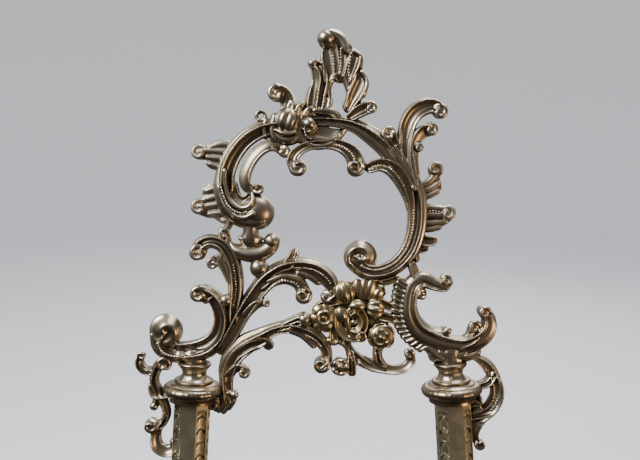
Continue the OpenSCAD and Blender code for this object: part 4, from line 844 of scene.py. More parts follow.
class ALBUM_STAND_OT_bouquet(bpy.types.Operator):
    """Sculpts the flowers, their leaves and the loop below them"""
    bl_idname = "album_stand.bouquet"
    bl_label = "Bouquet"

    def execute(self, context):
        leaves = Casting(rise=2)
        for points in (
                [(-3.4, 40.6, 7), (2, 41.4, 12), (8, 43, 15), (15, 42.4, 18)],
                [(12, 40, 18), (20, 41, 20), (26, 37, 14)],
                [(6, 52, 6), (12, 53, 12), (20, 53.6, 12), (25, 49, 12)]):
            leaves.scroll(points, "veined")
        for points in (
                [(22, 57, 7), (29, 58.6, 4), (36, 60.6, 4)], [(28, 50, 4), (33, 47, 4.6), (38, 46, 5)],
                [(-2, 47, 4), (3.4, 49.4, 5), (8, 50, 4)], [(22, 60, 4), (27, 58.4, 5), (29.6, 54, 4)],
                [(30, 42, 5), (34, 41, 4.4), (37, 39, 3.6)], [(5.6, 41, 4.6), (5.4, 35, 4.4), (5.6, 30, 5)]):
            leaves.scroll(points, "spoon", rise=3)
        leaves.scroll([(2.8, 30.4, 2.6), (5.6, 28.8, 3), (8.6, 30.2, 2.6)], "round", rise=3.4)
        crest(leaves, "bouquet_leaves", slot="gilt_brass", grain=0.34)

        rose = Casting(rise=2)
        for turn, near, wide, tall, high in ((128, 4.6, 3, 3.8, 1), (80, 4.6, 2.8, 3.4, 0.8),
                                             (34, 4.8, 2.8, 3.6, 1), (-20, 4.6, 2.8, 3.4, 1),
                                             (-75, 4.6, 3, 3.6, 1.4), (190, 4.6, 2.8, 3.4, 0.8),
                                             (236, 4.8, 2.8, 3.4, 1)):
            rose.bud(0.9 + near * math.cos(math.radians(turn)), 41.8 + near * math.sin(math.radians(turn)),
                     high, wide, tall,
                     turn=turn, ribs=3, groove=0.06, flat=0.9)
        hoop = [(0.9 + 3.1 * math.cos(math.radians(a)), 41.8 + 3.1 * math.sin(math.radians(a)), 2.2,
                 2.6) for a in range(0, 361, 20)]
        rose.scroll(hoop, "round", rise=1.8, fall=4)
        rose.ball(0.9, 41.8, 1.6, 1.9)
        crest(rose, "rose_left", slot="gilt_brass", grain=0.3)

        rose = Casting(rise=2)
        rose.ball(29, 32.4, 0.4, 6.9, 0.66, rows=16)
        for turn, reach, bend, width, high in ((200, 5.2, 70, 4, 1.4), (262, 5.2, 70, 4, 1.6),
                                               (325, 5.2, 70, 4, 1.4), (30, 5.2, 70, 4, 1.6),
                                               (95, 5.2, 70, 4, 1.2), (150, 5, 60, 3.6, 1.2),
                                               (230, 2.8, 80, 3, 3.2), (350, 2.8, 80, 3, 3.4),
                                               (110, 2.8, 80, 3, 3.2)):
            arc = [(29 + reach * math.cos(math.radians(turn + t * bend)),
                    32.4 + reach * math.sin(math.radians(turn + t * bend)),
                    width * (1 - 0.5 * t * t * 3), high + 0.8 * t) for t in (-0.5, -0.2, 0.2, 0.5)]
            rose.scroll(arc, "sloped", outer=-1, rise=2, fall=2)
        rose.ball(29, 32.4, 4.2, 1.3)
        crest(rose, "rose_right", slot="gilt_brass", grain=0.3)

        bloom = Casting(rise=2.4)
        bloom.slab([(7, 44), (6.6, 38), (9.4, 33), (14, 30.4), (19, 31.6), (22, 36), (22.6, 42), (19, 47.6),
                    (12, 47.6)], 1.6, -1.8)
        bloom.scroll([(7.4, 42.6, 3, 1.6), (7.8, 37.4, 4, 2), (11, 33.2, 4.6, 2.2), (16, 31.6, 4.4, 2),
                      (19.4, 33, 4, 1.6)], "sloped", outer=-1)
        bloom.roll(18.9, 32.6, 3, 270, 1, out=2.4)
        for wide, tall, high, width in ((5, 6.6, 1.8, 3.4), (2.4, 3.8, 3, 2.6)):
            loop = [(16 + wide * math.cos(math.radians(a)), 39.6 + tall * math.sin(math.radians(a)), width,
                     high)
                    for a in range(-110, 121, 23)]
            bloom.scroll(loop, "sloped", outer=-1, rise=2.4)
        bloom.scroll([(13.4, 46, 2.6, 2), (12, 40.4, 3.4, 1.8), (13.6, 35.4, 2.8, 2)], "round")
        bloom.ball(15.4, 39.6, 2.4, 1.7, 1)
        bloom.bud(9.4, 43.6, 2.4, 3.4, 4.3, turn=20, ribs=4, groove=0.08)
        bloom.bud(17, 47.6, 2.8, 3.4, 4.3, turn=84, ribs=4, groove=0.08)
        crest(bloom, "blossom", slot="gilt_brass", grain=0.3)

        buds = Casting(rise=2)
        buds.bud(10.7, 54.2, 1.8, 5.2, 6.2, turn=18, ribs=8, groove=0.1)
        for across, turn in ((17.6, 14), (20.8, 0), (23.8, -16)):
            buds.bud(across * 0.86 + 2.9, 55.8, 1.6, 2.7, 5.6, turn=turn, ribs=3, groove=0.05)
        buds.bud(27.4, 53.4, 1.6, 2.6, 3.8, turn=-30, ribs=3, groove=0.06)
        buds.bud(26, 46.2, 1.6, 4.9, 4.7, turn=80, ribs=8, groove=0.12)
        crest(buds, "buds", slot="gilt_brass", grain=0.3)

        loop = Casting(rise=4.4)
        loop.scroll([(20, 20.4, 5), (24, 18, 6), (29, 16.6, 5.4), (36, 15.4, 4.6), (41.4, 16.8, 4.6),
                     (44, 20.4, 4.8), (42.8, 23.4, 4.6)],
                    "sloped", outer=-1)
        loop.scroll([(28, 29, 5), (27.4, 22, 5), (31, 16.8, 3.6)], "stem", outer=1)
        loop.scroll([(26.4, 24, 2.6), (27, 19.6, 2.4), (31.6, 16.6, 2)], "ridged", lift=1)
        loop.scroll([(12, 30, 4), (13.6, 25.6, 4), (18, 20.6, 5.4), (23, 17.4, 4)], "spoon", outer=1,
                    rise=3.4)
        loop.scroll([(8, 29.4, 2.6), (12, 27, 3.2), (13.6, 22, 3.4)], "round")
        loop.scroll([(14, 24, 3.4), (14.4, 19, 4.4), (14.6, 14.4, 4.6)], "spoon", lift=0.6)
        loop.scroll([(14.4, 22, 1.2), (14.6, 14, 1)], "ridged", lift=1.6)
        loop.roll(43, 23.4, 3, 0, 1)
        loop.ball(8.8, 17.4, 1.8, 4.4, 0.6)
        loop.ball(8.8, 17.8, 4, 1.7)
        for turn in (70, 140, 215, 290, 0):
            angle = math.radians(turn)
            loop.scroll([(8.8 + 3.8 * math.cos(angle - 0.7), 17.4 + 3.8 * math.sin(angle - 0.7), 2, 1.6),
                         (8.8 + 3.4 * math.cos(angle), 17.4 + 3.4 * math.sin(angle), 2.8, 2.8),
                         (8.8 + 3.8 * math.cos(angle + 0.7), 17.4 + 3.8 * math.sin(angle + 0.7), 2, 1.6)],
                         "round", rise=2)
        crest(loop, "loop_right")
        return {"FINISHED"}


# ---------- collars, posts, side scrolls and feet ----------

def arc(across, up, size, start, end, steps):
    """Points of a round stretch of a lathe profile."""
    return [(across + size * math.cos(math.radians(start + (end - start) * i / steps)),
             up + size * math.sin(math.radians(start + (end - start) * i / steps))) for i in range(steps + 1)]


class ALBUM_STAND_OT_collars(bpy.types.Operator):
    """Turns the collars above and below the posts"""
    bl_idname = "album_stand.collars"
    bl_label = "Collars"

    def execute(self, context):
        profile = ([(2, 0), (11.5, 0), (11.5, 1.2), (10.8, 1.8)] + arc(12.3, 5.6, 2.7, -80, 100, 14)
                   + [(11.2, 8.9), (10.0, 9.3)] + arc(8.9, 10.2, 0.8, -60, 80, 5)
                   + [(5.9 + 1.9 * (2 * i / 18 - 1) ** 2, 10.8 + 6.6 * i / 18) for i in range(19)]
                   + arc(7.2, 18.3, 1.05, -70, 80, 10) + [(6.4, 19.5), (5, 19.8), (2, 19.8)])

        def wave(height, angle):
            if 12 < height < 17:
                return 0.12 * abs(math.cos(angle * 8))
            if 4.6 < height < 8.6:
                return 0.22 * abs(math.cos(angle * 16)) * math.sin(math.pi * (height - 4.6) / 4)
            return 0

        low = ([(2, 0), (11, 0)] + arc(10.6, 2.6, 2.4, -70, 70, 8) + [(10.2, 5.2), (9.4, 6.4)]
               + [(9.2, 7.4)] + arc(9.6, 9.8, 1.8, -80, 80, 8) + [(9.6, 12), (9.6, 14), (2, 14)])
        for side, name in ((-1, "left"), (1, "right")):
            collar = Casting()
            collar.turned(profile, 144, wave)
            collar.done(f"collar_{name}_turned", f"collar_{name}", on_post(side), "cast_brass",
                        finish("cast_brass"), grain=0)
            ring = Casting()
            ring.turned(low, 96, lambda height,
                        angle: 0.35 * math.cos(angle * 20) if 8 < height < 11.6 else 0)
            place = on_post(side) @ Matrix.Translation((0, 0, -POST_LENGTH - BASE_COLLAR_H))
            ring.done(f"base_collar_{name}_turned", f"base_collar_{name}", place, "cast_brass",
                      finish("cast_brass"), grain=0)
        return {"FINISHED"}


def chasing(u, height):
    """Height of the overlapping husks chased on a post's panel, at u from -1 to 1 across it."""
    husk = (height / 6.4 - 0.5 * u * u) % 1
    return (0.1 + 0.62 * husk ** 0.7) * (1 - 0.45 * u * u) * min((1 - husk) / 0.1, 1)


class ALBUM_STAND_OT_posts(bpy.types.Operator):
    """Builds the eight-sided posts with their smooth front face and stippled panels"""
    bl_idname = "album_stand.posts"
    bl_label = "Posts"

    def execute(self, context):
        half = POST_WIDTH / 2
        corner = half * math.tan(math.pi / 8)
        sunk, margin = 0.8, 0.7
        stops = [0, 3, 76, 82, 163, 169, 242, POST_LENGTH]
        for side, name in ((-1, "left"), (1, "right")):
            bar = Casting()
            verts = bar.mesh.verts
            for k in range(8):
                angle = math.tau * k / 8
                out, along = Vector((math.sin(angle), math.cos(angle))), Vector((math.cos(angle),
                    -math.sin(angle)))

                def at(u, depth, height):
                    spot = out * (half - depth) + along * u
                    return verts.new((spot.x, spot.y, -height))

                plain = k in (0, 4)
                for n, (top, bottom) in enumerate(zip(stops, stops[1:])):
                    outer = [at(u, 0, z) for u,
                             z in ((-corner, top), (corner, top), (corner, bottom), (-corner, bottom))]
                    if plain or n % 2 == 0:
                        bar.mesh.faces.new(outer)
                        continue
                    edge, steps, lanes = corner - margin, int((bottom - top) / 0.6), 14
                    grid = []
                    for i in range(steps + 1):
                        height = top + (bottom - top) * i / steps
                        fade = min(i, steps - i, 4) / 4
                        row = []
                        for j in range(lanes + 1):
                            u = 2 * j / lanes - 1
                            rim = min(1 - abs(u), 0.16) / 0.16
                            depth = sunk * rim * fade - rim * fade * chasing(u, height)
                            row.append(at(u * edge, depth, height))
                        grid.append(row)
                    for low, high in zip(grid, grid[1:]):
                        for j in range(lanes):
                            bar.mesh.faces.new((low[j], low[j + 1], high[j + 1], high[j]))
                    sides = [grid[0], [row[-1] for row in grid], grid[-1][::-1],
                             [row[0] for row in grid][::-1]]
                    for i, run in enumerate(sides):
                        bar.mesh.faces.new([outer[i], outer[(i + 1) % 4], *run[::-1]])
            bmesh.ops.remove_doubles(bar.mesh, verts=bar.mesh.verts, dist=0.001)
            bmesh.ops.holes_fill(bar.mesh, edges=bar.mesh.edges, sides=8)
            post = bar.done(f"post_{name}_chased", f"post_{name}", on_post(side), "post_brass",
                            finish("post_brass"), grain=0)
            wear_edges(post, 0.35, math.radians(30))
        return {"FINISHED"}


class ALBUM_STAND_OT_side_scrolls(bpy.types.Operator):
    """Sculpts the small scrolls that hang beside the collars"""
    bl_idname = "album_stand.side_scrolls"
    bl_label = "Side scrolls"

    def execute(self, context):
        edge = -POST_WIDTH / 2
        left = Casting(rise=3.8, fall=3.5)
        spine = [(edge - 6.4, 17.6, 6.6), (edge - 9.6, 16, 5.6), (edge - 11.4, 9, 4.6), (edge - 8.8, 3, 4.8),
                 (edge - 6, -2, 4.6), (edge - 4.2, -8, 4.2), (edge - 6.6, -13.4, 4.2),
                 (edge - 10.4, -13.6, 5)]
        left.scroll(spine, "stem", outer=-1)
        left.beads(spine, -0.1, 0.56, size=0.52, pitch=1.3, start=0.5, end=0.78, outer=-1)
        left.scroll([(edge - 12.4, 13.4, 4), (edge - 16.6, 13.8, 4.4), (edge - 19.2, 17.4, 4.4),
                     (edge - 17.8, 21, 2.6)], "stem", outer=-1)
        left.roll(edge - 6.6, 17.6, 4.1, 0, 1)
        left.roll(edge - 17.8, 20.8, 2.4, 180, -1)
        left.scroll([(edge - 12, 6, 4, 0.4), (edge - 10.2, 2.4, 4.6, 0.6), (edge - 6, 2.2, 4, 0.4),
                     (edge - 1, 3.4, 3.6)], "sloped", outer=-1)
        left.roll(edge - 11.2, -13.4, 4, 40, -1)
        left.scroll([(edge - 6.8, -12.4, 3.8), (edge - 8.8, -18, 4.8), (edge - 8, -24, 5.4),
                     (edge - 3.6, -26.4, 5.4), (edge + 1, -25, 5.4)],
                    "sloped", outer=-1)
        left.ball(edge + 0.4, -21.4, 0.6, 2.3)
        left.scroll([(edge - 10, -1, 3.4), (edge - 10.2, -3.6, 3.4)], "ridged")
        left.ball(edge - 10.4, -4, 1.2, 2.2)
        left.done("bracket_left_cast", "bracket_left", on_post(-1), "cast_brass", finish("cast_brass"))
        edge = POST_WIDTH / 2
        right = Casting(rise=3.8, fall=3.5)
        spine = [(edge - 1.2, 22, 2.2), (edge + 4, 21, 3.8), (edge + 9.6, 16.8, 6), (edge + 13, 10, 6.4),
                 (edge + 13.8, 2, 6.4), (edge + 10.6, -5, 6.8), (edge + 5.6, -7.6, 6.4),
                 (edge + 1, -8.4, 5.4)]
        right.scroll(spine, "stem", outer=1)
        right.beads(spine, -0.1, 0.56, size=0.52, pitch=1.3, start=0.12, end=0.42)
        lower = [(edge + 14.4, 9, 4, 0.6), (edge + 14, 2, 6.4, 0.6), (edge + 10.4, -4.6, 7, 0.6),
                 (edge + 5, -9.4, 5, 0.4)]
        right.scroll(lower, "sloped", outer=1)
        right.beads(lower, 0.1, 0.6, size=0.52, pitch=1.3, start=0.05, end=0.7)
        for turn in (100, 135, 170, 205):
            angle = math.radians(turn)
            right.scroll([(edge + 6.4 + 1.4 * math.cos(angle), -3.4 + 1.4 * math.sin(angle), 1.2, 0.6),
                          (edge + 6 + 5.2 * math.cos(angle), -4 + 4.6 * math.sin(angle), 2.6, 0)], "round",
                          rise=4)
        right.scroll([(edge + 9, -6, 7), (edge + 4.4, -10, 6.4), (edge + 2.2, -15, 4.6),
                      (edge + 1.6, -19, 3.8), (edge + 3, -22, 4)], "sloped", outer=1)
        right.roll(edge + 3.8, -22.6, 3, 180, 1)
        right.scroll([(edge + 13, 12, 4.4, 0.4), (edge + 9.6, 8, 5, 0.4), (edge + 5.4, 6.6, 4.4, 0.4),
                      (edge + 1, 5, 3.6)], "stem", outer=1)
        right.done("bracket_right_cast", "bracket_right", on_post(1), "cast_brass", finish("cast_brass"))
        return {"FINISHED"}


class ALBUM_STAND_OT_feet(bpy.types.Operator):
    """Sculpts the scroll feet under the posts"""
    bl_idname = "album_stand.feet"
    bl_label = "Feet"

    def execute(self, context):
        for side, name in ((-1, "left"), (1, "right")):
            foot = Casting(rise=9, fall=9)
            foot.slab([(-9, 31), (9, 31), (7.6, 24), (8.6, 12), (10, -8), (-10, -8), (-8.6, 12), (-7.6, 24)],
                      4.4, -5)
            foot.scroll([(0, 28, 12), (0, 18, 14), (0, 6, 19), (0, -7, 21)], "leaf", rise=8.4, fall=4,
                        scallops=4)
            for up in (23, 15, 7):
                for way in (-1, 1):
                    foot.scroll([(way * 1.4, up - 3, 2.4), (way * 4.6, up - 1, 3),
                                 (way * (7.4 - 0.1 * up), up + 2.4, 2)], "round", rise=7.4)
            big = [(6, 25, 9), (14, 20, 8.4), (18, 12, 8.4), (24, 6, 9.4), (31, 4, 9.4), (36, 9, 7.4),
                   (32.4, 12.6, 6)]
            small = [(-6, 23, 8.4), (-12, 16, 7.4), (-15, 8, 7.4), (-21, 5, 8.4), (-24, 9, 6)]
            for points in (big, small):
                points = [(side * x, z, w) for x, z, w in points]
                turn = side if points[-1][0] * side > 0 else -side
                foot.scroll(points, "coved", outer=turn, rise=7.6, fall=7.6)
                foot.beads(points, -0.42, 1.05, size=0.9, pitch=2.2, start=0.1, end=0.7, outer=turn)
            foot.ball(side * 32.4, 12.6, 3, 3.9, 1.6)
            foot.ball(side * -24, 9, 3, 3.6, 1.6)
            place = on_post(side) @ Matrix.Translation((0, 0, -POST_LENGTH - FOOT_STACK))
            piece = foot.done(f"foot_{name}_cast", f"foot_{name}", place, "cast_brass", finish("cast_brass"),
                              grain=0.6)
            trim_to_ground(piece)
        return {"FINISHED"}


def trim_to_ground(piece):
    """Cuts a piece flat on the ground."""
    shape = bmesh.new()
    shape.from_mesh(piece.data)
    cut = bmesh.ops.bisect_plane(shape, geom=shape.verts[:] + shape.edges[:] + shape.faces[:], dist=1e-6,
                                 plane_co=(0, 0, 0), plane_no=(0, 0, -1), clear_outer=True)
    rim = [item for item in cut["geom_cut"] if isinstance(item, bmesh.types.BMEdge)]
    bmesh.ops.contextual_create(shape, geom=rim)
    bmesh.ops.triangulate(shape, faces=[face for face in shape.faces if len(face.verts) > 4])
    shape.to_mesh(piece.data)
    shape.free()


class ALBUM_STAND_OT_rails(bpy.types.Operator):
    """Sculpts the leg rail, the apron and its shell"""
    bl_idname = "album_stand.rails"
    bl_label = "Rails"

    def execute(self, context):
        def post_face(z):
            return POST_SPAN / 2 + (POST_TOP - z) * math.tan(SPLAY) - POST_WIDTH / 2

        upper = Casting(rise=3.2, fall=3.2)
        end = post_face(HINGE_UP)
        upper.scroll([(-end, 0, 8), (-44, -4, 7.4), (-22, -1, 15), (0, 0, 25), (22, -1, 15), (44, -4, 7.4),
                      (end, 0, 8)], "leaf")
        for side in (-1, 1):
            upper.scroll([(side * x, z, w) for x, z, w in
                          ((14, 8, 6.4), (24, 12, 5.4), (34, 10, 4.6), (35, 4, 4.4), (30.4, 2, 4.4))], "stem",
                          outer=side)
            upper.scroll([(side * x, z, w) for x, z, w in
                          ((48, -3, 5.4), (42, 5, 4.6), (46, 11, 4.6), (51.6, 10, 4.4))], "stem", outer=side)
            upper.ball(side * 30.2, 2, 0.4, 2.8)
            upper.ball(side * 52, 10, 0.4, 2.8)
        place = PLANE @ Matrix.Translation((0, 0, HINGE_UP))
        upper.done("leg_rail_cast", "leg_rail", place, "cast_brass", finish("cast_brass"), grain=0.5)

        apron = Casting(rise=3.2, fall=3.2)
        end = post_face(APRON_UP)
        apron.scroll([(-end, 0, 8), (-60, 4, 7.4), (-36, 4, 7.4), (-16, 10, 6.4), (0, 15, 7.4), (16, 10, 6.4),
                      (36, 4, 7.4), (60, 4, 7.4), (end, 0, 8)], "beaded", outer=1)
        for side in (-1, 1):
            for points, section in (
                    (((56, 2, 6.4), (54, -10, 6.4), (42, -16, 6.4), (31, -10, 5.4), (34, -3, 4.4),
                      (39.6, -4, 4.4)), "coved"),
                    (((33, -12, 5.4), (22, -17, 6.4), (10, -16, 7.4), (0, -20, 8.4)), "coved"),
                    (((-2, 12, 6.4), (9, 0, 6.4), (5, -14, 6.4)), "stem"),
                    (((48, -6, 8.4), (48, 6, 8.4)), "round")):
                apron.scroll([(side * x, z, w) for x, z, w in points], section, outer=-side)
            apron.ball(side * 39.8, -4, 0.4, 2.8)
        place = PLANE @ Matrix.Translation((0, 0, APRON_UP))
        apron.done("apron_cast", "apron", place, "cast_brass", finish("cast_brass"), grain=0.5)

        shell = Casting(rise=RAIL_T / 2 + 3.4, fall=-RAIL_T / 2)
        ribs = 9
        for k in range(ribs):
            angle = math.radians(10 + 160 * k / (ribs - 1))
            reach = 15 + 10 * math.sin(angle)
            tip = Vector((math.cos(angle), math.sin(angle)))
            shell.scroll([(tip.x * 2, tip.y * 2, 2), (tip.x * reach * 0.6, tip.y * reach * 0.6, reach * 0.2),
                          (tip.x * reach, tip.y * reach, reach * 0.3)], "round", rise=3.4, fall=0.6,
                          lift=RAIL_T / 2 + 0.4)
        shell.ball(0, 0, RAIL_T / 2 + 0.6, 6, 0.55)
        place = PLANE @ Matrix.Translation((0, 0, APRON_UP - 14))
        shell.done("apron_shell_cast", "apron_shell", place, "gilt_brass", finish("gilt_brass"), grain=0.4)
        return {"FINISHED"}


class ALBUM_STAND_OT_rests(bpy.types.Operator):
    """Sculpts the two folding album rests"""
    bl_idname = "album_stand.rests"
    bl_label = "Album rests"

    def execute(self, context):
        for name in ("left", "right"):
            pivot = Vector(JOINTS[f"rest_{name}_swing"]["pos_m"])
            # the arm is drawn sideways on: its outline runs forward and up, and its width is across
            place = matrix_of(pivot, -BACK, Vector((1, 0, 0)), UP)
            arm = Casting(rise=3.4, fall=3.4)
            path = [(0, 0, 6), (12, -1, 5.6), (24, -2, 5.6), (34, 0, 5.6), (40, 6, 5.6), (39.4, 9.6, 5)]
            arm.scroll(path, "round")
            arm.ball(40, 10.4, 0, 3.5)
            arm.scroll([(8, 0, 2), (20, -1.2, 2.6), (32, 0, 2.4)], "round", rise=3.9, fall=3.9)
            eye = [(4.6 * math.cos(math.tau * k / 32), 4.6 * math.sin(math.tau * k / 32)) for k in range(32)]
            arm.loft([[(x, y, -3.4) for x, y in eye], [(x, y, 3.4) for x, y in eye]])
            arm.done(f"rest_{name}_cast", f"rest_{name}", place, "cast_brass", finish("cast_brass"),
                     body=f"rest_{name}", grain=0.4)
        return {"FINISHED"}


class ALBUM_STAND_OT_leg(bpy.types.Operator):
    """Sculpts the folding leg and its toe"""
    bl_idname = "album_stand.leg"
    bl_label = "Leg"

    def execute(self, context):
        length = HINGE.z / math.cos(LEG_OPEN - math.atan2(UP.y, UP.z)) / MM
        low = -length + 16
        leg = Casting(rise=2.5, fall=2.5)
        leg.slab([(-7.5, 6.4), (7.5, 6.4), (7.5, -8), (5.4, -14), (-5.4, -14), (-7.5, -8)], 2.5, -2.5)
        middle = -length / 2
        leg.scroll([(0, -10, 11), (0, -30, 9.4), (0, -80, 10), (0, middle + 22, 13)], "leaf")
        leg.scroll([(0, middle - 22, 13), (0, middle - 34, 10), (0, low + 8, 9)], "leaf")
        for side in (-1, 1):
            leg.scroll([(side * 2, middle + 30, 5), (side * 6.4, middle + 10, 5), (side * 6.6, middle, 5),
                        (side * 6.4, middle - 10, 5), (side * 2, middle - 30, 5)], "round")
        leg.slab([(-4.6, low + 10), (4.6, low + 10), (4.6, low), (-4.6, low)], 2.4, -2.4)
        drum = [(5.4 * math.cos(math.tau * k / 40), 5.4 * math.sin(math.tau * k / 40)) for k in range(40)]
        leg.loft([[(-7.4, y, z) for y, z in drum], [(7.4, y, z) for y, z in drum]])
        leg.done("leg_cast", "leg", on_leg(), "cast_brass", finish("cast_brass"), body="leg", grain=0.5)

        # the toe is drawn sideways on: its outline runs back and up, and its width is across
        spot = on_leg() @ Matrix.Translation((0, 0, -length))
        turn = Matrix(((0, -1, 0, 0), (1, 0, 0, 0), (0, 0, 1, 0), (0, 0, 0, 1)))
        toe = Casting(rise=5.8, fall=5.8)
        toe.scroll([(0, 19, 6), (0, 10, 7), (2, 3, 9), (0, -6, 11)], "round")
        toe.scroll([(0, 6, 6), (5, 5, 5), (7, 8, 4.6)], "round")
        toe.ball(7, 8.2, 0, 2.8, 1.6)
        piece = toe.done("leg_foot_cast", "leg_foot", spot @ turn, "cast_brass", finish("cast_brass"),
                         body="leg", grain=0.45)
        trim_to_ground(piece)
        return {"FINISHED"}


class ALBUM_STAND_OT_fittings(bpy.types.Operator):
    """Gives the pins, rods, nuts, screws, lugs and hinge bracket their finishes and worn edges"""
    bl_idname = "album_stand.fittings"
    bl_label = "Fittings"

    def execute(self, context):
        for node, slot, worn in (
                ("tie_rod_left", "steel", 0.2), ("tie_rod_right", "steel", 0.2), ("foot_nuts", "steel", 0.3),
                ("lock_pins", "steel", 0.15), ("bracket_screws", "steel", 0.3), ("hinge_pin", "steel", 0.4),
                ("rest_pin_left", "steel", 0.4), ("rest_pin_right", "steel", 0.4),
                ("hinge_bracket", "cast_brass", 0.6), ("rest_lug_left", "cast_brass", 0.6),
                ("rest_lug_right", "cast_brass", 0.6)):
            part = frame["nodes"][node]
            part.data.materials.clear()
            part.data.materials.append(finish(slot))
            wear_edges(part, worn, SHARP_ANGLE)
        return {"FINISHED"}


# ---------- the studio ----------

class ALBUM_STAND_OT_stage(bpy.types.Operator):
    """Sets the floor, the lights, the sky and the camera"""
    bl_idname = "album_stand.stage"
    bl_label = "Stage"

    def execute(self, context):
        scene = context.scene
        floor_size, rise, wall = 1.5, 0.6, 1.5
        profile = [(0.001, 0), (floor_size, 0)]
        profile += [(floor_size + rise * math.sin(math.radians(9 * i)),
                     rise * (1 - math.cos(math.radians(9 * i)))) for i in range(1, 11)]
        profile += [(floor_size + rise, wall)]
        shape = bmesh.new()
        spokes = 96
        turns = [math.tau * k / spokes for k in range(spokes)]
        rings = [[shape.verts.new((r * math.cos(turn), r * math.sin(turn), z)) for turn in turns]
                 for r, z in profile]
        for low, high in zip(rings, rings[1:]):
            for k in range(spokes):
                shape.faces.new((low[k], low[(k + 1) % spokes], high[(k + 1) % spokes], high[k]))
        shape.faces.new(rings[0])
        mesh = bpy.data.meshes.new("studio_cove")
        shape.to_mesh(mesh)
        shape.free()
        mesh.shade_smooth()
        cove = bpy.data.objects.new("studio_cove", mesh)
        scene.collection.objects.link(cove)
        paint = bpy.data.materials.new("matt_paper")
        paint.use_nodes = True
        paper = paint.node_tree.nodes["Principled BSDF"]
        paper.inputs["Base Color"].default_value = linear(scene.album_stand_colours.backdrop)
        paper.inputs["Roughness"].default_value = 0.9
        cove.data.materials.append(paint)
        cove.visible_glossy = False

        sky = bpy.data.worlds.new("studio_sky")
        sky.use_nodes = True
        tree = sky.node_tree
        tree.nodes.clear()
        # the room that the metal mirrors: a pale wall behind the stand, a dim room in front of it
        way = add(tree, "ShaderNodeSeparateXYZ", Vector=add(tree, "ShaderNodeTexCoord").outputs["Generated"])
        depth = add(tree, "ShaderNodeMapRange", Value=way.outputs["Y"], From_Min=-1.0,
                    From_Max=1.0).outputs[0]
        room = ramp(tree, depth, [(0.0, 0.1), (0.3, 0.12), (0.5, 0.26), (0.75, 0.6)])
        height = add(tree, "ShaderNodeMapRange", Value=way.outputs["Z"], From_Min=-0.5, From_Max=0.7,
                     To_Min=0.3, To_Max=2.0).outputs[0]
        mirrored = add(tree, "ShaderNodeMath", {"operation": "MULTIPLY"}, i0=room, i1=height).outputs[0]
        dim = add(tree, "ShaderNodeBackground", Color=linear("#e8e6ea"), Strength=mirrored)
        even = add(tree, "ShaderNodeBackground", Color=linear("#e6e9ee"), Strength=0.95)
        glossy = add(tree, "ShaderNodeLightPath").outputs["Is Glossy Ray"]
        both = add(tree, "ShaderNodeMixShader", i0=glossy, i1=even.outputs[0], i2=dim.outputs[0])
        add(tree, "ShaderNodeOutputWorld", Surface=both.outputs[0])
        scene.world = sky

        middle = CREST @ Vector((0, 0, CREST_MIDDLE))
        for name, place, size, power, colour in (
                ("key", (-0.6, -0.35, 0.6), 0.45, 15, "#f4f7ff"),
                ("fill", (0.7, -0.5, -0.1), 0.25, 2.6, "#ffd2a4"),
                ("top", (0.25, 0.2, 0.8), 0.5, 10, "#eef3ff"),
                ("back", (0.3, 0.9, 0.3), 0.6, 3, "#fff4e6")):
            lamp = bpy.data.lights.new(name, "AREA")
            lamp.size, lamp.energy, lamp.color = size, power, linear(colour)[:3]
            light = bpy.data.objects.new(name, lamp)
            light.location = middle + Vector(place)
            light.rotation_euler = (middle - light.location).to_track_quat("-Z", "Y").to_euler()
            scene.collection.objects.link(light)

        shot = scene.album_stand_sizes
        lens = bpy.data.cameras.new("camera")
        lens.sensor_width, lens.lens = 36, shot.lens
        lens.clip_start, lens.clip_end = 0.01, 20
        camera = bpy.data.objects.new("camera", lens)
        aim = CREST @ Vector((-1.25, 0, CREST_MIDDLE))
        tilt = shot.camera_tilt
        away = Vector((math.sin(shot.camera_turn) * math.cos(tilt),
                       -math.cos(shot.camera_turn) * math.cos(tilt), math.sin(tilt)))
        camera.location = aim + away * shot.camera_distance
        camera.rotation_euler = (-away).to_track_quat("-Z", "Y").to_euler()
        scene.collection.objects.link(camera)
        scene.camera = camera
        return {"FINISHED"}


class AlbumStandSizes(bpy.types.PropertyGroup):
    """Sizes that a user would change"""
    lens: bpy.props.FloatProperty(name="Lens", description="Focal length in millimetres", default=38.6,
                                  min=10)
    camera_distance: bpy.props.FloatProperty(name="Camera distance",
                                             description="From the middle of the crest",
                                             default=0.339, unit="LENGTH")
    camera_tilt: bpy.props.FloatProperty(name="Camera tilt",
                                         description="Camera's height over the crest's middle, as an angle",
                                         default=math.radians(14.5), subtype="ANGLE")
    camera_turn: bpy.props.FloatProperty(name="Camera turn",
                                         description="Turn of the camera round the stand, to the right",
                                         default=0.0, subtype="ANGLE")


def hex_property(name, description, default):
    """A colour kept as an sRGB hex value."""
    return bpy.props.StringProperty(name=name, description=description, default=default)


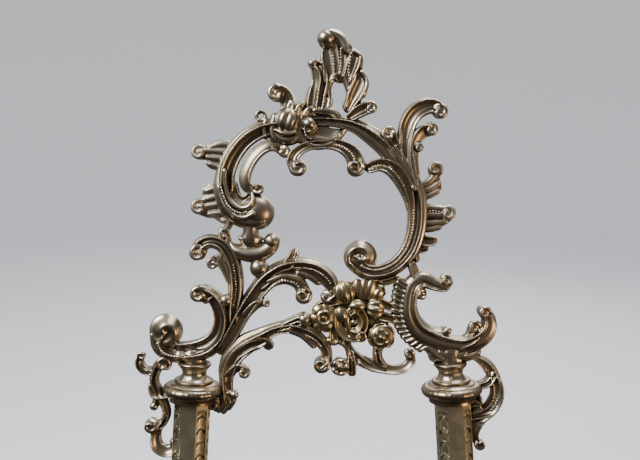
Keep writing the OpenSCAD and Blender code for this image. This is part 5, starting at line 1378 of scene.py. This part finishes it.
class AlbumStandColours(bpy.types.PropertyGroup):
    """Colours that a user would change, as sRGB hex values"""
    rubbed: hex_property("Rubbed", "Bright brass on the high places", "#ddd2bd")
    body: hex_property("Body", "Brass of the body", "#94856a")
    tarnish: hex_property("Tarnish", "Mottling on the body", "#66553e")
    # the hollow colour goes into the occluded recesses of the brass: partly tarnish and old polish, partly
    # painted shade
    hollow: hex_property("Hollow", "Old polish and tarnish in the hollows", "#33281c")
    gilt: hex_property("Gilt", "Worn gilding on the flowers", "#a3916a")
    steel: hex_property("Steel", "Pins, rods and screws", "#8c8c8a")
    backdrop: hex_property("Backdrop", "Paper of the studio cove", "#dcdcdd")


STEPS = (ALBUM_STAND_OT_rings, ALBUM_STAND_OT_knot, ALBUM_STAND_OT_sprays, ALBUM_STAND_OT_left_arms,
         ALBUM_STAND_OT_base_scrolls, ALBUM_STAND_OT_bouquet, ALBUM_STAND_OT_collars, ALBUM_STAND_OT_posts,
         ALBUM_STAND_OT_side_scrolls, ALBUM_STAND_OT_feet, ALBUM_STAND_OT_rails, ALBUM_STAND_OT_rests,
         ALBUM_STAND_OT_leg, ALBUM_STAND_OT_fittings, ALBUM_STAND_OT_stage)


class ALBUM_STAND_PT_panel(bpy.types.Panel):
    """Lists the sizes, the colours and the steps"""
    bl_idname = "ALBUM_STAND_PT_panel"
    bl_label = "Album stand"
    bl_space_type = "VIEW_3D"
    bl_region_type = "UI"
    bl_category = "Album stand"

    def draw(self, context):
        for group in (context.scene.album_stand_sizes, context.scene.album_stand_colours):
            for key in group.__annotations__:
                self.layout.prop(group, key)
        for step in STEPS:
            self.layout.operator(step.bl_idname)


CLASSES = (AlbumStandSizes, AlbumStandColours, *STEPS, ALBUM_STAND_PT_panel)


def register():
    for cls in CLASSES:
        bpy.utils.register_class(cls)
    bpy.types.Scene.album_stand_sizes = bpy.props.PointerProperty(type=AlbumStandSizes)
    bpy.types.Scene.album_stand_colours = bpy.props.PointerProperty(type=AlbumStandColours)


def unregister():
    del bpy.types.Scene.album_stand_colours
    del bpy.types.Scene.album_stand_sizes
    for cls in reversed(CLASSES):
        bpy.utils.unregister_class(cls)


def main():
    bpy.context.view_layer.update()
    register()
    for step in STEPS:
        group, name = step.bl_idname.split(".")
        getattr(getattr(bpy.ops, group), name)()


if __name__ == "__main__":
    main()
